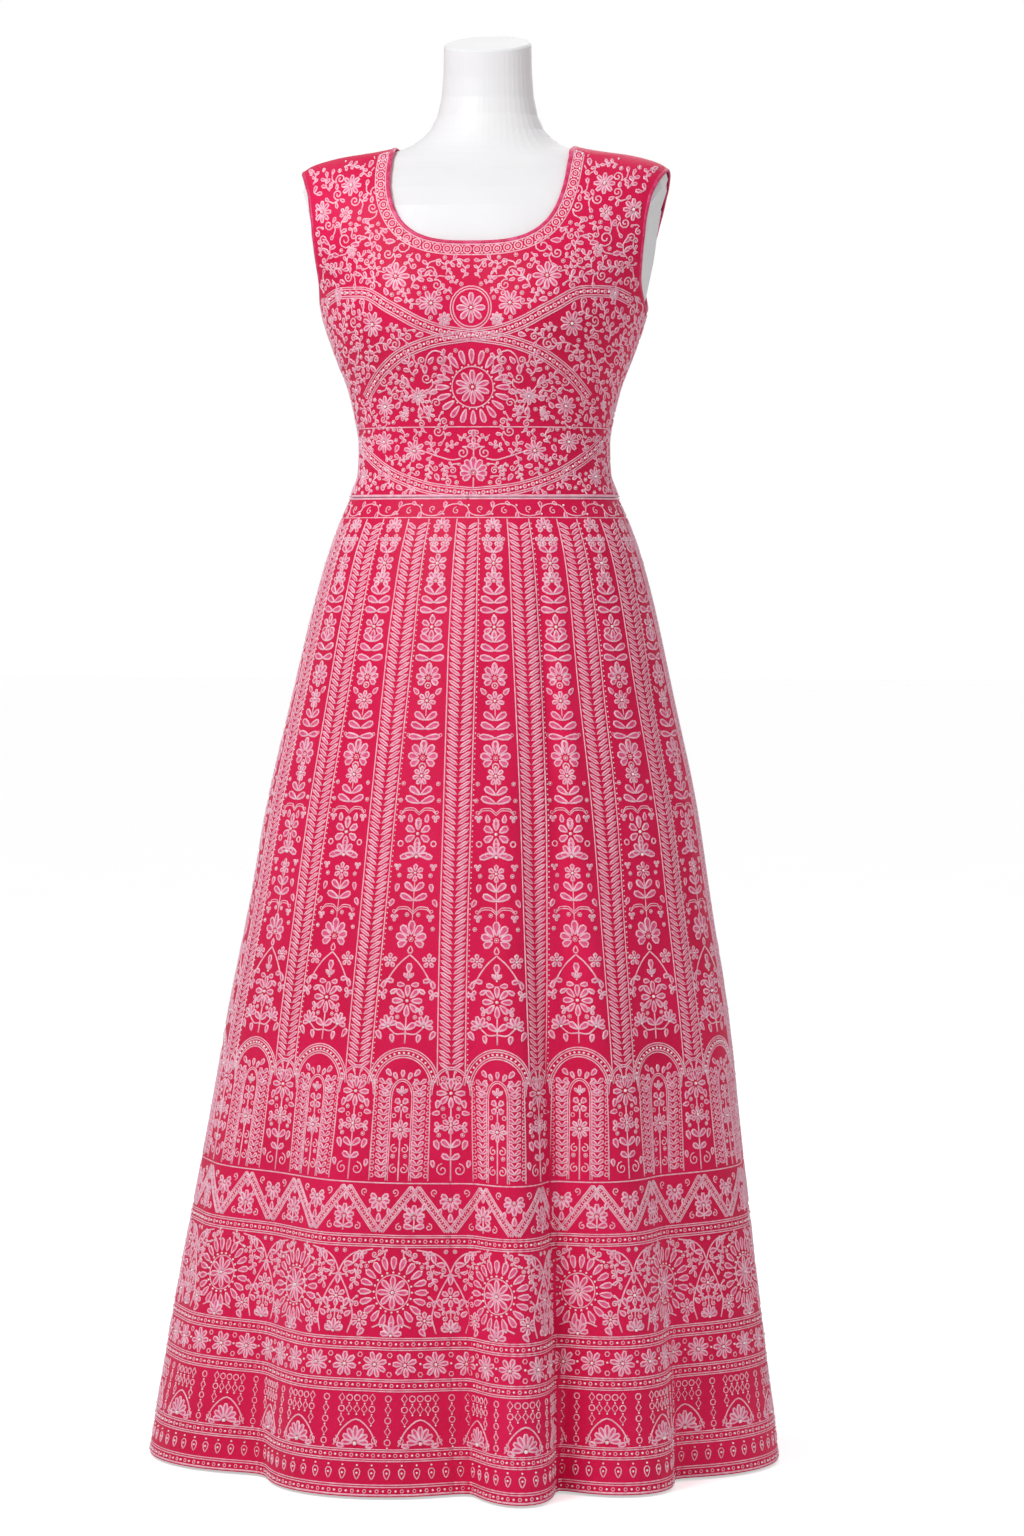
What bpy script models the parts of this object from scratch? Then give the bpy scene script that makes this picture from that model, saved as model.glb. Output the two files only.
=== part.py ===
"""An anarkali gown worn by a limbless dress form that stands on a round base.

The gown is a sleeveless fitted bodice with a scoop neck, sewn at the waist to a floor-length skirt of sixteen
flared panels (kalis) that falls in flutes. Metres, +Z up, the front faces -Y and the floor is at z = 0.
Azimuth is counted from the centre front, positive towards +X.
"""

import math

import bmesh
import bpy
import numpy as np
from mathutils.geometry import delaunay_2d_cdt

# Cloth
CLOTH = 0.0015  # wall of the embroidered net with its backing
SEAM_GAP = 0.0003  # between two pieces that are sewn together
EASE = 0.0024  # between the form and the cloth on it, enough for both to be faceted

# Gown heights above the floor
WAIST_SEAM_Z = 1.004
HEM_Z = 0.003

# Scoop neck, as seen from the front and from the back
NECK_HALF_WIDTH = 0.096
NECK_TOP_Z = 1.372
NECK_DROP_FRONT = 0.109
NECK_DROP_BACK = 0.045
NECK_SQUARENESS = 3.1

# Armhole, as seen from the side
ARMHOLE_BOTTOM_Z = 1.199
ARMHOLE_TOP_Z = 1.3445
ARMHOLE_FRONT = 0.056
ARMHOLE_BACK = 0.060

NECK_STEPS = 14  # stretches of a quarter of the neckline
HOLE_STEPS = 18  # stretches of half an armhole

TURN_LENGTH = 0.14  # metres of a bodice's flat layout for each radian round the form
POINT_MARGIN = 0.0035  # from the outline to the nearest inner point

BINDING_WIDTH = 0.0034
BINDING_HEIGHT = 0.0026

# Skirt
KALI_COUNT = 16  # all of one width, measured along the cloth
KALI_SEGMENTS = 8
FIRST_SEAM_DEG = -2.4
RING_STEPS = 1440  # stretches in which the cloth's length round the skirt is measured
KALI_LEVELS = (0.985, 0.955, 0.900, 0.800, 0.680, 0.560, 0.440, 0.330, 0.220, 0.110)
FLUTE_FADE = 1.6  # how quickly a flute deepens below its top
FLUTE_ROUNDING = 0.45  # share by which the lobes are widened and the valleys narrowed

# Dress form
ARM_PLATE_X = 0.1737  # half distance between the two arm plates, at their lower end
ARM_PLATE_Z = 1.225
ARM_PLATE_LEAN = 0.065
SHOULDER_TIP_Z = 1.290
SHOULDER_TIP_LEAN = 0.25
PLATE_EDGE = 0.0015  # rounding of the arm plate's rim
BUST_X, BUST_Z = 0.080, 1.195
BUST_HEIGHT, BUST_SPREAD = 0.018, 0.058
NECK_EDGE = 0.002  # rounding of the neck's flat top
NECK_BACK = 0.030  # how far the neck's axis lies behind the torso's
NECK_BACK_FROM, NECK_BACK_TO = 1.300, 1.420
NECK_SLANT = math.radians(15)  # the neck's flat top tips forward
NECK_SLANT_FROM, NECK_SLANT_TO = 1.400, 1.479
FORM_COLUMNS = 48
POLE_RADIUS = 0.0125
FLANGE_RADIUS, FLANGE_HEIGHT = 0.045, 0.006
SOCKET_RADIUS, SOCKET_HEIGHT = 0.022, 0.040
BASE_RADIUS, BASE_HEIGHT, BASE_BEVEL = 0.165, 0.010, 0.003
ROUND_SEGMENTS = 32

# Rings of the dress form from the hips up: half width, depth before and behind the axis, and squareness.
FIGURE_COLUMNS = ("z", "half_width", "front", "back", "squareness")
FIGURE = (
    (0.800, 0.146, 0.098, 0.104, 2.3),
    (0.830, 0.157, 0.106, 0.112, 2.3),
    (0.870, 0.160, 0.108, 0.116, 2.3),
    (0.910, 0.155, 0.106, 0.112, 2.3),
    (0.950, 0.146, 0.101, 0.101, 2.3),
    (0.980, 0.140, 0.098, 0.093, 2.3),
    (1.004, 0.1366, 0.096, 0.088, 2.3),
    (1.030, 0.1281, 0.092, 0.081, 2.3),
    (1.060, 0.1271, 0.091, 0.077, 2.3),
    (1.090, 0.1316, 0.094, 0.078, 2.3),
    (1.120, 0.1391, 0.099, 0.082, 2.3),
    (1.155, 0.1526, 0.106, 0.089, 2.3),
    (1.190, 0.1645, 0.108, 0.096, 2.3),
    (1.220, 0.1715, 0.106, 0.100, 2.3),
    (1.250, 0.1830, 0.101, 0.103, 2.4),
    (1.265, 0.1885, 0.0973, 0.1037, 2.45),
    (1.280, 0.1925, 0.093, 0.104, 2.5),
    (1.305, 0.1960, 0.084, 0.101, 2.5),
    (1.325, 0.1960, 0.074, 0.093, 2.4),
    (1.336, 0.1935, 0.067, 0.085, 2.3),
    (1.343, 0.1900, 0.062, 0.079, 2.2),
    (1.348, 0.1835, 0.058, 0.074, 2.1),
    (1.3535, 0.1690, 0.055, 0.070, 2.0),
    (1.358, 0.1500, 0.053, 0.067, 2.0),
    (1.3605, 0.1330, 0.052, 0.0655, 2.0),
    (1.363, 0.1170, 0.051, 0.064, 2.0),
    (1.3657, 0.1030, 0.0505, 0.063, 2.0),
    (1.369, 0.0900, 0.0495, 0.0615, 2.0),
    (1.374, 0.0785, 0.0485, 0.060, 2.0),
    (1.381, 0.0685, 0.0475, 0.0585, 2.0),
    (1.390, 0.0600, 0.046, 0.056, 2.0),
    (1.405, 0.0530, 0.043, 0.053, 2.0),
    (1.425, 0.0485, 0.041, 0.051, 2.0),
    (1.450, 0.0465, 0.040, 0.050, 2.0),
    (1.479, 0.0460, 0.040, 0.050, 2.0),
)

# Rings of the skirt's outer face, through the crests of its flutes: how far it reaches towards -X, +X, the front
# and the back, and its squareness.
SKIRT_COLUMNS = ("z", "minus_x", "plus_x", "front", "back", "squareness")
SKIRT = (
    (0.000, 0.3545, 0.3220, 0.2960, 0.2960, 2.00),
    (0.127, 0.3340, 0.3070, 0.2790, 0.2790, 2.00),
    (0.256, 0.3100, 0.2890, 0.2560, 0.2560, 2.00),
    (0.363, 0.2890, 0.2730, 0.2360, 0.2380, 2.00),
    (0.470, 0.2700, 0.2580, 0.2160, 0.2180, 2.00),
    (0.577, 0.2480, 0.2390, 0.1960, 0.1980, 2.00),
    (0.686, 0.2285, 0.2220, 0.1750, 0.1780, 2.00),
    (0.793, 0.2030, 0.1990, 0.1550, 0.1580, 2.05),
    (0.900, 0.1765, 0.1755, 0.1330, 0.1340, 2.15),
    (0.950, 0.1615, 0.1615, 0.1190, 0.1190, 2.25),
    (0.986, 0.1480, 0.1480, 0.1060, 0.0990, 2.30),
    (1.004, 0.1405, 0.1405, 0.0998, 0.0918, 2.30),
    (1.010, 0.1385, 0.1385, 0.0978, 0.0898, 2.30),
)

# Valleys of the skirt's flutes: where each lies, how far it goes in at the hem, the height where it dies out,
# and how far the crest after it stands out at the hem.
FLUTE_COLUMNS = ("azimuth_deg", "depth", "reach", "crest")
FLUTES = (
    (-155, 0.040, 0.66, 0.000),
    (-130, 0.042, 0.60, 0.002),
    (-105, 0.040, 0.62, 0.002),
    (-50, 0.050, 0.64, 0.000),
    (3, 0.040, 0.60, 0.022),
    (24, 0.048, 0.95, 0.000),
    (54, 0.046, 0.72, -0.006),
    (105, 0.040, 0.60, 0.000),
    (130, 0.044, 0.68, 0.002),
    (155, 0.038, 0.60, 0.004),
    (180, 0.046, 0.74, 0.002),
)


def smooth_through(knots, values, where):
    """Values of a smooth curve through the knots that never overshoots them (monotone cubic)."""
    knots, values, where = (np.asarray(x, float) for x in (knots, values, where))
    step = np.diff(knots)
    slope = np.diff(values) / step
    tangent = np.zeros(len(knots))
    tangent[0], tangent[-1] = slope[0], slope[-1]
    same_way = slope[:-1] * slope[1:] > 0
    weight_a, weight_b = 2 * step[1:] + step[:-1], step[1:] + 2 * step[:-1]
    safe = np.where(same_way, slope[:-1] * slope[1:], 1.0)
    mean = (weight_a + weight_b) * safe / (weight_a * slope[1:] + weight_b * slope[:-1] + (~same_way))
    tangent[1:-1] = np.where(same_way, mean, 0.0)
    i = np.clip(np.searchsorted(knots, where) - 1, 0, len(step) - 1)
    t = np.clip((where - knots[i]) / step[i], 0, 1)
    rise = values[i] * (2 * t**3 - 3 * t**2 + 1) + values[i + 1] * (3 * t**2 - 2 * t**3)
    lean = tangent[i] * (t**3 - 2 * t**2 + t) + tangent[i + 1] * (t**3 - t**2)
    return rise + lean * step[i]


FIGURE_TABLE = dict(zip(FIGURE_COLUMNS, np.array(FIGURE).T))
SKIRT_TABLE = dict(zip(SKIRT_COLUMNS, np.array(SKIRT).T))
FLUTE_TABLE = dict(zip(FLUTE_COLUMNS, np.array(FLUTES).T))

# How far each ring of the form is along its side profile, from the hips over the shoulder to the neck.
PROFILE = np.concatenate(
    [[0], np.cumsum(np.hypot(np.diff(FIGURE_TABLE["z"]), np.diff(FIGURE_TABLE["half_width"])))]
)
PROFILE_FINE = np.linspace(0, PROFILE[-1], 2000)
HEIGHT_FINE = smooth_through(PROFILE, FIGURE_TABLE["z"], PROFILE_FINE)


def profile_at(height):
    """How far along the side profile the form reaches this height."""
    return np.interp(height, HEIGHT_FINE, PROFILE_FINE)


def smoothstep(t):
    t = np.clip(t, 0, 1)
    return t * t * (3 - 2 * t)


def neck_back(z):
    """How far behind the torso's axis the ring at this height is centred."""
    return NECK_BACK * smoothstep((z - NECK_BACK_FROM) / (NECK_BACK_TO - NECK_BACK_FROM))


def figure(azimuth, along):
    """Points of the form's surface at azimuths in radians and distances along the side profile."""
    z, half_width, front, back, square = (
        smooth_through(PROFILE, FIGURE_TABLE[name], along) for name in FIGURE_COLUMNS
    )
    side, ahead = np.sin(azimuth), np.cos(azimuth)
    depth = np.where(ahead > 0, front, back)
    radius = (np.abs(side / half_width) ** square + np.abs(ahead / depth) ** square) ** (-1 / square)
    plate = ARM_PLATE_X + ARM_PLATE_LEAN * (z - ARM_PLATE_Z)
    plate = plate + SHOULDER_TIP_LEAN * np.maximum(0, z - SHOULDER_TIP_Z)
    reach = np.abs(radius * side)
    x = np.sign(side) * (reach - PLATE_EDGE * np.log1p(np.exp((reach - plate) / PLATE_EDGE)))
    y = -radius * ahead
    bust = sum(
        np.exp(-(((x - at) / BUST_SPREAD) ** 2) - ((z - BUST_Z) / BUST_SPREAD) ** 2) for at in (-BUST_X, BUST_X)
    )
    y = y - BUST_HEIGHT * bust * smoothstep(2 * ahead)
    slant = math.tan(NECK_SLANT) * smoothstep((z - NECK_SLANT_FROM) / (NECK_SLANT_TO - NECK_SLANT_FROM))
    return np.stack([x, y + neck_back(z), z + slant * y], axis=-1)


def flutes(azimuth, z):
    """How far the skirt's flutes move a point outwards, and how far sideways as a share of a lobe's width."""
    degrees = np.degrees(azimuth)
    start = np.append(FLUTE_TABLE["azimuth_deg"], FLUTE_TABLE["azimuth_deg"][0] + 360)
    degrees = start[0] + np.mod(degrees - start[0], 360)
    lobe = np.clip(np.searchsorted(start, degrees, side="right") - 1, 0, len(start) - 2)
    after = (lobe + 1) % len(FLUTES)
    share = (degrees - start[lobe]) / (start[lobe + 1] - start[lobe])
    fall = [
        FLUTE_TABLE["depth"][i] * np.clip(1 - z / FLUTE_TABLE["reach"][i], 0, 1) ** FLUTE_FADE
        for i in (lobe, after)
    ]
    valley = -(fall[0] + (fall[1] - fall[0]) * smoothstep(share))
    tallest = np.maximum(FLUTE_TABLE["reach"][lobe], FLUTE_TABLE["reach"][after])
    crest = FLUTE_TABLE["crest"][lobe] * np.clip(1 - z / tallest, 0, 1) ** FLUTE_FADE
    outwards = valley + (crest - valley) * (1 - np.cos(2 * math.pi * share)) / 2
    width = np.radians(start[lobe + 1] - start[lobe])
    strength = np.clip((crest - valley) / 0.04, 0, 1)
    sideways = -FLUTE_ROUNDING * strength * width / (2 * math.pi) * np.sin(2 * math.pi * share)
    return outwards, sideways


def skirt(azimuth, z):
    """Points of the skirt's outer face at azimuths in radians and heights."""
    outwards, sideways = flutes(azimuth, z)
    minus_x, plus_x, front, back, square = (
        smooth_through(SKIRT_TABLE["z"], SKIRT_TABLE[name], z) for name in SKIRT_COLUMNS[1:]
    )
    side, ahead = np.sin(azimuth + sideways), np.cos(azimuth + sideways)
    half_width = np.where(side > 0, plus_x, minus_x)
    depth = np.where(ahead > 0, front, back)
    radius = (np.abs(side / half_width) ** square + np.abs(ahead / depth) ** square) ** (-1 / square)
    radius = radius + outwards
    return np.stack([radius * side, -radius * ahead, z], axis=-1)


def frame_of(surface, azimuth, along):
    """The surface's two directions and its outward unit normal at each point."""
    small_turn, small_step = 1e-3, 1e-4
    turning = (surface(azimuth + small_turn, along) - surface(azimuth - small_turn, along)) / (2 * small_turn)
    rising = (surface(azimuth, along + small_step) - surface(azimuth, along - small_step)) / (2 * small_step)
    normal = np.cross(turning, rising)
    normal /= np.linalg.norm(normal, axis=-1, keepdims=True)
    return turning, rising, normal


def moved_out(surface, azimuth, along, distance):
    """Points at a distance outside the surface, along its normal."""
    azimuth, along = np.broadcast_arrays(np.asarray(azimuth, float), np.asarray(along, float))
    return surface(azimuth, along) + distance * frame_of(surface, azimuth, along)[2]


def material(name, colour, roughness, metallic=0.0):
    """A Principled BSDF material."""
    made = bpy.data.materials.new(name)
    made.use_nodes = True
    shader = made.node_tree.nodes["Principled BSDF"]
    shader.inputs["Base Color"].default_value = (*colour, 1.0)
    shader.inputs["Roughness"].default_value = roughness
    shader.inputs["Metallic"].default_value = metallic
    return made


def add_object(name, points, faces, finish):
    """A closed mesh object with its faces pointing out."""
    mesh = bpy.data.meshes.new(name)
    mesh.from_pydata([tuple(map(float, p)) for p in points], [], [tuple(map(int, f)) for f in faces])
    shape = bmesh.new()
    shape.from_mesh(mesh)
    bmesh.ops.recalc_face_normals(shape, faces=shape.faces)
    shape.to_mesh(mesh)
    shape.free()
    mesh.materials.append(finish)
    mesh.shade_smooth()
    mesh.set_sharp_from_angle(angle=math.radians(40))
    made = bpy.data.objects.new(name, mesh)
    bpy.context.scene.collection.objects.link(made)
    return made


def grid_faces(rows, columns, closed):
    """Quads between the points of a grid, whose columns may close into a ring."""
    across = columns if closed else columns - 1
    return [
        (r * columns + c, r * columns + (c + 1) % columns, (r + 1) * columns + (c + 1) % columns, (r + 1) * columns + c)
        for r in range(rows - 1)
        for c in range(across)
    ]


def walled(outer, inner, triangles, rim):
    """Points and faces of a wall: its outer and inner faces, and a rim that joins them round the outline."""
    count = len(outer)
    faces = [tuple(t) for t in triangles]
    faces += [tuple(i + count for i in reversed(t)) for t in triangles]
    faces += [(a, b, b + count, a + count) for a, b in zip(rim, rim[1:] + rim[:1])]
    return np.concatenate([outer, inner]), faces


def neck_half_width(z, drop):
    """Half the scoop's width at a height."""
    fall = np.clip((NECK_TOP_Z - z) / drop, 0, 1)
    return NECK_HALF_WIDTH * (1 - fall**NECK_SQUARENESS) ** (1 / NECK_SQUARENESS)


def neckline(azimuth, drop):
    """Where the form's profile at each azimuth passes into the scoop, by halving."""
    low = np.full(len(azimuth), profile_at(WAIST_SEAM_Z + 0.2))
    high = np.full(len(azimuth), PROFILE[-1])
    for _ in range(40):
        middle = (low + high) / 2
        point = figure(azimuth, middle)
        inside = np.abs(point[:, 0]) < neck_half_width(point[:, 2], drop)
        inside &= point[:, 2] > NECK_TOP_Z - drop
        low, high = np.where(inside, low, middle), np.where(inside, middle, high)
    return high


def armhole(turn):
    """Azimuth and profile distance of the right armhole's edge. Turn 0 is its front and a quarter turn its top."""
    middle_z = (ARMHOLE_TOP_Z + ARMHOLE_BOTTOM_Z) / 2
    half_height = (ARMHOLE_TOP_Z - ARMHOLE_BOTTOM_Z) / 2
    z = middle_z + half_height * np.sin(turn)
    along = profile_at(z)
    y = neck_back(z) - np.where(np.cos(turn) > 0, ARMHOLE_FRONT, ARMHOLE_BACK) * np.cos(turn)
    low, high = np.full(len(turn), math.radians(30)), np.full(len(turn), math.radians(150))
    for _ in range(40):
        middle = (low + high) / 2
        ahead = figure(middle, along)[:, 1] < y
        low, high = np.where(ahead, middle, low), np.where(ahead, high, middle)
    return (low + high) / 2, along


def bodice_outline(is_front):
    """The outline of a bodice half as azimuth and profile distance, counted from its own centre line."""
    drop = NECK_DROP_FRONT if is_front else NECK_DROP_BACK
    inset = SEAM_GAP / 2 / FIGURE_TABLE["half_width"].min() / 2
    edge = math.pi / 2 - inset
    waist = float(profile_at(WAIST_SEAM_Z + SEAM_GAP / 2))
    tip = float(profile_at(ARMHOLE_TOP_Z))
    underarm = float(profile_at(ARMHOLE_BOTTOM_Z))
    turn = np.linspace(-math.pi / 2, math.pi / 2, HOLE_STEPS + 1)
    if not is_front:
        turn = math.pi - turn
    hole_azimuth, hole_along = armhole(turn)
    if not is_front:
        hole_azimuth = math.pi - hole_azimuth
    hole_azimuth = np.minimum(hole_azimuth, edge)
    neck_azimuth = np.linspace(edge, 0, NECK_STEPS + 1)
    neck_along = neckline(neck_azimuth if is_front else math.pi - neck_azimuth, drop)
    bottom = [(a, waist) for a in np.linspace(0, edge, 10)]
    side = [(edge, a) for a in np.linspace(waist, underarm, 11)[1:-1]]
    hole = list(zip(hole_azimuth, hole_along))
    shoulder = [(edge, a) for a in np.linspace(tip, neck_along[0], 6)[1:-1]]
    right = bottom + side + hole + shoulder + list(zip(neck_azimuth, neck_along))
    left = [(-a, s) for a, s in reversed(right[1:-1])]
    return np.array(right + left)


def bodice_panel(name, is_front, finish):
    """One bodice half: a wall over the form between the waist seam, side seams, armholes, shoulders and neck.

    Its inner points lie on the form's own sections and columns, so that its facets nest with the form's.
    """
    outline = bodice_outline(is_front) * (TURN_LENGTH, 1)
    columns = np.arange(-FORM_COLUMNS // 4 + 1, FORM_COLUMNS // 4) * 2 * math.pi / FORM_COLUMNS * TURN_LENGTH
    grid = [(c, r) for r in PROFILE for c in columns if is_inside((c, r), outline, POINT_MARGIN)]
    edges = list(range(len(outline)))
    made = delaunay_2d_cdt([tuple(p) for p in outline] + grid, [], [edges], 1, 1e-6)
    flat_points = np.array([tuple(p) for p in made[0]])
    rim = [int(np.argmin(np.hypot(*(flat_points - p).T))) for p in outline]
    azimuth, along = flat_points[:, 0] / TURN_LENGTH, flat_points[:, 1]
    if not is_front:
        azimuth = math.pi - azimuth
    outer = moved_out(figure, azimuth, along, EASE + CLOTH)
    inner = moved_out(figure, azimuth, along, EASE)
    points, faces = walled(outer, inner, made[2], rim)
    return add_object(name, points, faces, finish)


def is_inside(point, outline, margin):
    """Whether a flat point lies inside an outline and further than the margin from it."""
    x, y = point
    ends = np.roll(outline, -1, axis=0)
    crosses = (outline[:, 1] > y) != (ends[:, 1] > y)
    rise = np.where(crosses, ends[:, 1] - outline[:, 1], 1)
    at = outline[:, 0] + (y - outline[:, 1]) / rise * (ends[:, 0] - outline[:, 0])
    if not (crosses & (x < at)).sum() % 2:
        return False
    edge = ends - outline
    t = np.clip(((point - outline) * edge).sum(axis=1) / np.maximum((edge**2).sum(axis=1), 1e-12), 0, 1)
    return np.hypot(*(outline + edge * t[:, None] - point).T).min() > margin


def binding(name, azimuth, along, opening, finish):
    """A bound edge: a rounded strip beside a closed edge curve, on the side of the opening's middle point."""
    turning, rising, normal = frame_of(figure, azimuth, along)
    edge = figure(azimuth, along)
    tangent = np.roll(edge, -1, axis=0) - np.roll(edge, 1, axis=0)
    tangent /= np.linalg.norm(tangent, axis=1, keepdims=True)
    across = np.cross(normal, tangent)
    across *= np.sign((across * (opening - edge)).sum(axis=1).mean())
    section = (
        (0.0, 0.0),
        (1.0, 0.0),
        (1.0, 0.55),
        (0.5, 1.0),
        (0.0, 0.75),
    )
    points = []
    for share, rise in section:
        distance = SEAM_GAP + share * BINDING_WIDTH
        turn_share = (across * turning).sum(axis=1) / (turning**2).sum(axis=1)
        rise_share = (across * rising).sum(axis=1) / (rising**2).sum(axis=1)
        shifted = figure(azimuth + distance * turn_share, along + distance * rise_share)
        points.append(shifted + (EASE + rise * BINDING_HEIGHT) * normal)
    stacked = np.stack(points + points[:1])
    count, columns = len(section), len(azimuth)
    faces = grid_faces(count + 1, columns, closed=True)
    faces = [tuple(i % (count * columns) for i in face) for face in faces]
    return add_object(name, stacked[:count].reshape(-1, 3), faces, finish)


def bindings(finish):
    """The bound neck edge and the two bound armhole edges."""
    front_turn = np.linspace(-math.pi / 2, math.pi / 2, 2 * NECK_STEPS + 1)[:-1]
    back_turn = front_turn + math.pi
    neck_azimuth = np.concatenate([front_turn, back_turn])
    neck_along = np.concatenate([neckline(front_turn, NECK_DROP_FRONT), neckline(back_turn, NECK_DROP_BACK)])
    above_neck = np.array((0, 0, NECK_TOP_Z))
    binding("neck_binding", neck_azimuth, neck_along, above_neck, finish)
    hole_azimuth, hole_along = armhole(np.linspace(0, 2 * math.pi, 2 * HOLE_STEPS + 1)[:-1])
    beside_arm = np.array((ARM_PLATE_X, 0, (ARMHOLE_TOP_Z + ARMHOLE_BOTTOM_Z) / 2))
    binding("armhole_binding_right", hole_azimuth, hole_along, beside_arm, finish)
    binding("armhole_binding_left", -hole_azimuth, hole_along, beside_arm * (-1, 1, 1), finish)


def kali(index, finish):
    """One flared panel of the skirt, from its seam at the waist to the hem."""
    outer = []
    inner = []
    for z in (WAIST_SEAM_Z - SEAM_GAP / 2, *KALI_LEVELS, HEM_Z):
        turn = np.linspace(0, 2 * math.pi, RING_STEPS + 1) + math.radians(FIRST_SEAM_DEG)
        ring = skirt(turn, np.full(len(turn), z))
        length = np.append(0, np.cumsum(np.linalg.norm(np.diff(ring, axis=0), axis=1)))
        ends = length[-1] * np.array((index, index + 1)) / KALI_COUNT + np.array((1, -1)) * SEAM_GAP / 2
        azimuth = np.interp(np.linspace(*ends, KALI_SEGMENTS + 1), length, turn)
        outer.append(skirt(azimuth, np.full(len(azimuth), z)))
        inner.append(moved_out(skirt, azimuth, z, -CLOTH))
        inner[-1][:, 2] = z
    rows, columns = len(outer), KALI_SEGMENTS + 1
    quads = grid_faces(rows, columns, closed=False)
    bottom = [(rows - 1) * columns + c for c in range(columns)]
    top = list(range(columns))
    left = [r * columns for r in range(1, rows - 1)]
    right = [r * columns + columns - 1 for r in range(1, rows - 1)]
    rim = top + right + bottom[::-1] + left[::-1]
    points, faces = walled(np.concatenate(outer), np.concatenate(inner), quads, rim)
    return add_object(f"kali_{index + 1:02d}", points, faces, finish)


def form_torso(finish):
    """The smooth torso with its neck, flat on top and underneath."""
    rows = len(PROFILE)
    azimuth = np.arange(FORM_COLUMNS) * 2 * math.pi / FORM_COLUMNS
    turns, profile = np.meshgrid(azimuth, PROFILE)
    rings = figure(turns.ravel(), profile.ravel()).reshape(rows, FORM_COLUMNS, 3)
    middle = rings[-1].mean(axis=0)
    inset = rings[-1] + (middle - rings[-1]) * NECK_EDGE / FIGURE_TABLE["half_width"][-1]
    inset += NECK_EDGE * np.array((0, -math.sin(NECK_SLANT), math.cos(NECK_SLANT)))
    points = np.concatenate([rings.reshape(-1, 3), inset])
    faces = grid_faces(rows + 1, FORM_COLUMNS, closed=True)
    faces.append(tuple(range(FORM_COLUMNS)))
    faces.append(tuple(rows * FORM_COLUMNS + c for c in range(FORM_COLUMNS)))
    return add_object("form_torso", points, faces, finish)


def turned(name, outline, finish):
    """A solid of revolution about the z axis. The outline starts and ends on the axis."""
    angles = np.linspace(0, 2 * math.pi, ROUND_SEGMENTS + 1)[:-1]
    rings = [(r, z) for r, z in outline if r > 0]
    points = [(r * math.cos(a), r * math.sin(a), z) for r, z in rings for a in angles]
    faces = grid_faces(len(rings), ROUND_SEGMENTS, closed=True)
    last = (len(rings) - 1) * ROUND_SEGMENTS
    faces.append(tuple(range(ROUND_SEGMENTS)))
    faces.append(tuple(last + c for c in range(ROUND_SEGMENTS)))
    return add_object(name, points, faces, finish)


def form_stand(finish):
    """The pole with the flange that carries the torso, and the base plate with the socket that holds the pole."""
    flange_top = FIGURE_TABLE["z"][0] - SEAM_GAP
    flange_bottom = flange_top - FLANGE_HEIGHT
    socket_floor = BASE_HEIGHT / 2
    bore = POLE_RADIUS + SEAM_GAP
    turned(
        "form_pole",
        (
            (POLE_RADIUS, socket_floor + SEAM_GAP),
            (POLE_RADIUS, flange_bottom),
            (FLANGE_RADIUS, flange_bottom),
            (FLANGE_RADIUS, flange_top),
        ),
        finish,
    )
    turned(
        "form_base",
        (
            (BASE_RADIUS - BASE_BEVEL, 0.0),
            (BASE_RADIUS, BASE_BEVEL),
            (BASE_RADIUS, BASE_HEIGHT - BASE_BEVEL),
            (BASE_RADIUS - BASE_BEVEL, BASE_HEIGHT),
            (SOCKET_RADIUS, BASE_HEIGHT),
            (SOCKET_RADIUS, SOCKET_HEIGHT),
            (bore, SOCKET_HEIGHT),
            (bore, socket_floor),
        ),
        finish,
    )


def main():
    for existing in list(bpy.data.objects):
        bpy.data.objects.remove(existing)
    cloth = material("gown_cloth", (0.80, 0.07, 0.24), 0.55)
    bound_edge = material("bound_edge", (0.84, 0.16, 0.34), 0.45)
    white = material("form_white", (0.86, 0.86, 0.86), 0.40)
    steel = material("stand_steel", (0.55, 0.56, 0.58), 0.35, 0.9)
    bodice_panel("bodice_front", True, cloth)
    bodice_panel("bodice_back", False, cloth)
    bindings(bound_edge)
    for index in range(KALI_COUNT):
        kali(index, cloth)
    form_torso(white)
    form_stand(steel)


main()
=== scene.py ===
"""The looks of an anarkali gown on its dress form: cloth, bound edges, raised embroidery, beads and studio.

Metres, +Z up, the front faces -Y. Azimuth is counted from the centre front, positive towards +X. The
cloth's surfaces repeat the formulas of the solids. Embroidery is drawn flat, with x along the cloth and y as
the height above the floor, and is then laid on the cloth as low raised meshes.
"""

import math

import bpy
import numpy as np
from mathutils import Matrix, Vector
from mathutils.geometry import delaunay_2d_cdt
from mathutils.kdtree import KDTree


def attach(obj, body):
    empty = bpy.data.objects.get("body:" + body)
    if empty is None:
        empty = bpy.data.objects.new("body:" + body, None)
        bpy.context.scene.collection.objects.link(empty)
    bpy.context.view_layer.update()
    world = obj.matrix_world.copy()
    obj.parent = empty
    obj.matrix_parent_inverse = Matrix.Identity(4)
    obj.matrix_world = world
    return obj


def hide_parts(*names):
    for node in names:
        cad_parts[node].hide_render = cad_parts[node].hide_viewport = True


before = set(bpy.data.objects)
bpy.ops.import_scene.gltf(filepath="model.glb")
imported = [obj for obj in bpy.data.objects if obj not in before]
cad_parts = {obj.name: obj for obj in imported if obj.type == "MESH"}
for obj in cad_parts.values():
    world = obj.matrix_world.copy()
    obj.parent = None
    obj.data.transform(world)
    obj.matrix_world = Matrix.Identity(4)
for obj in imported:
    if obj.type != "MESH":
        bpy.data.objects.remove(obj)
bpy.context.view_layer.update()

# Sizes that the solids have too
CLOTH = 0.0015
EASE = 0.0024
WAIST_SEAM_Z = 1.004
HEM_Z = 0.003
NECK_HALF_WIDTH = 0.096
NECK_TOP_Z = 1.372
NECK_DROP_FRONT = 0.109
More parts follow.
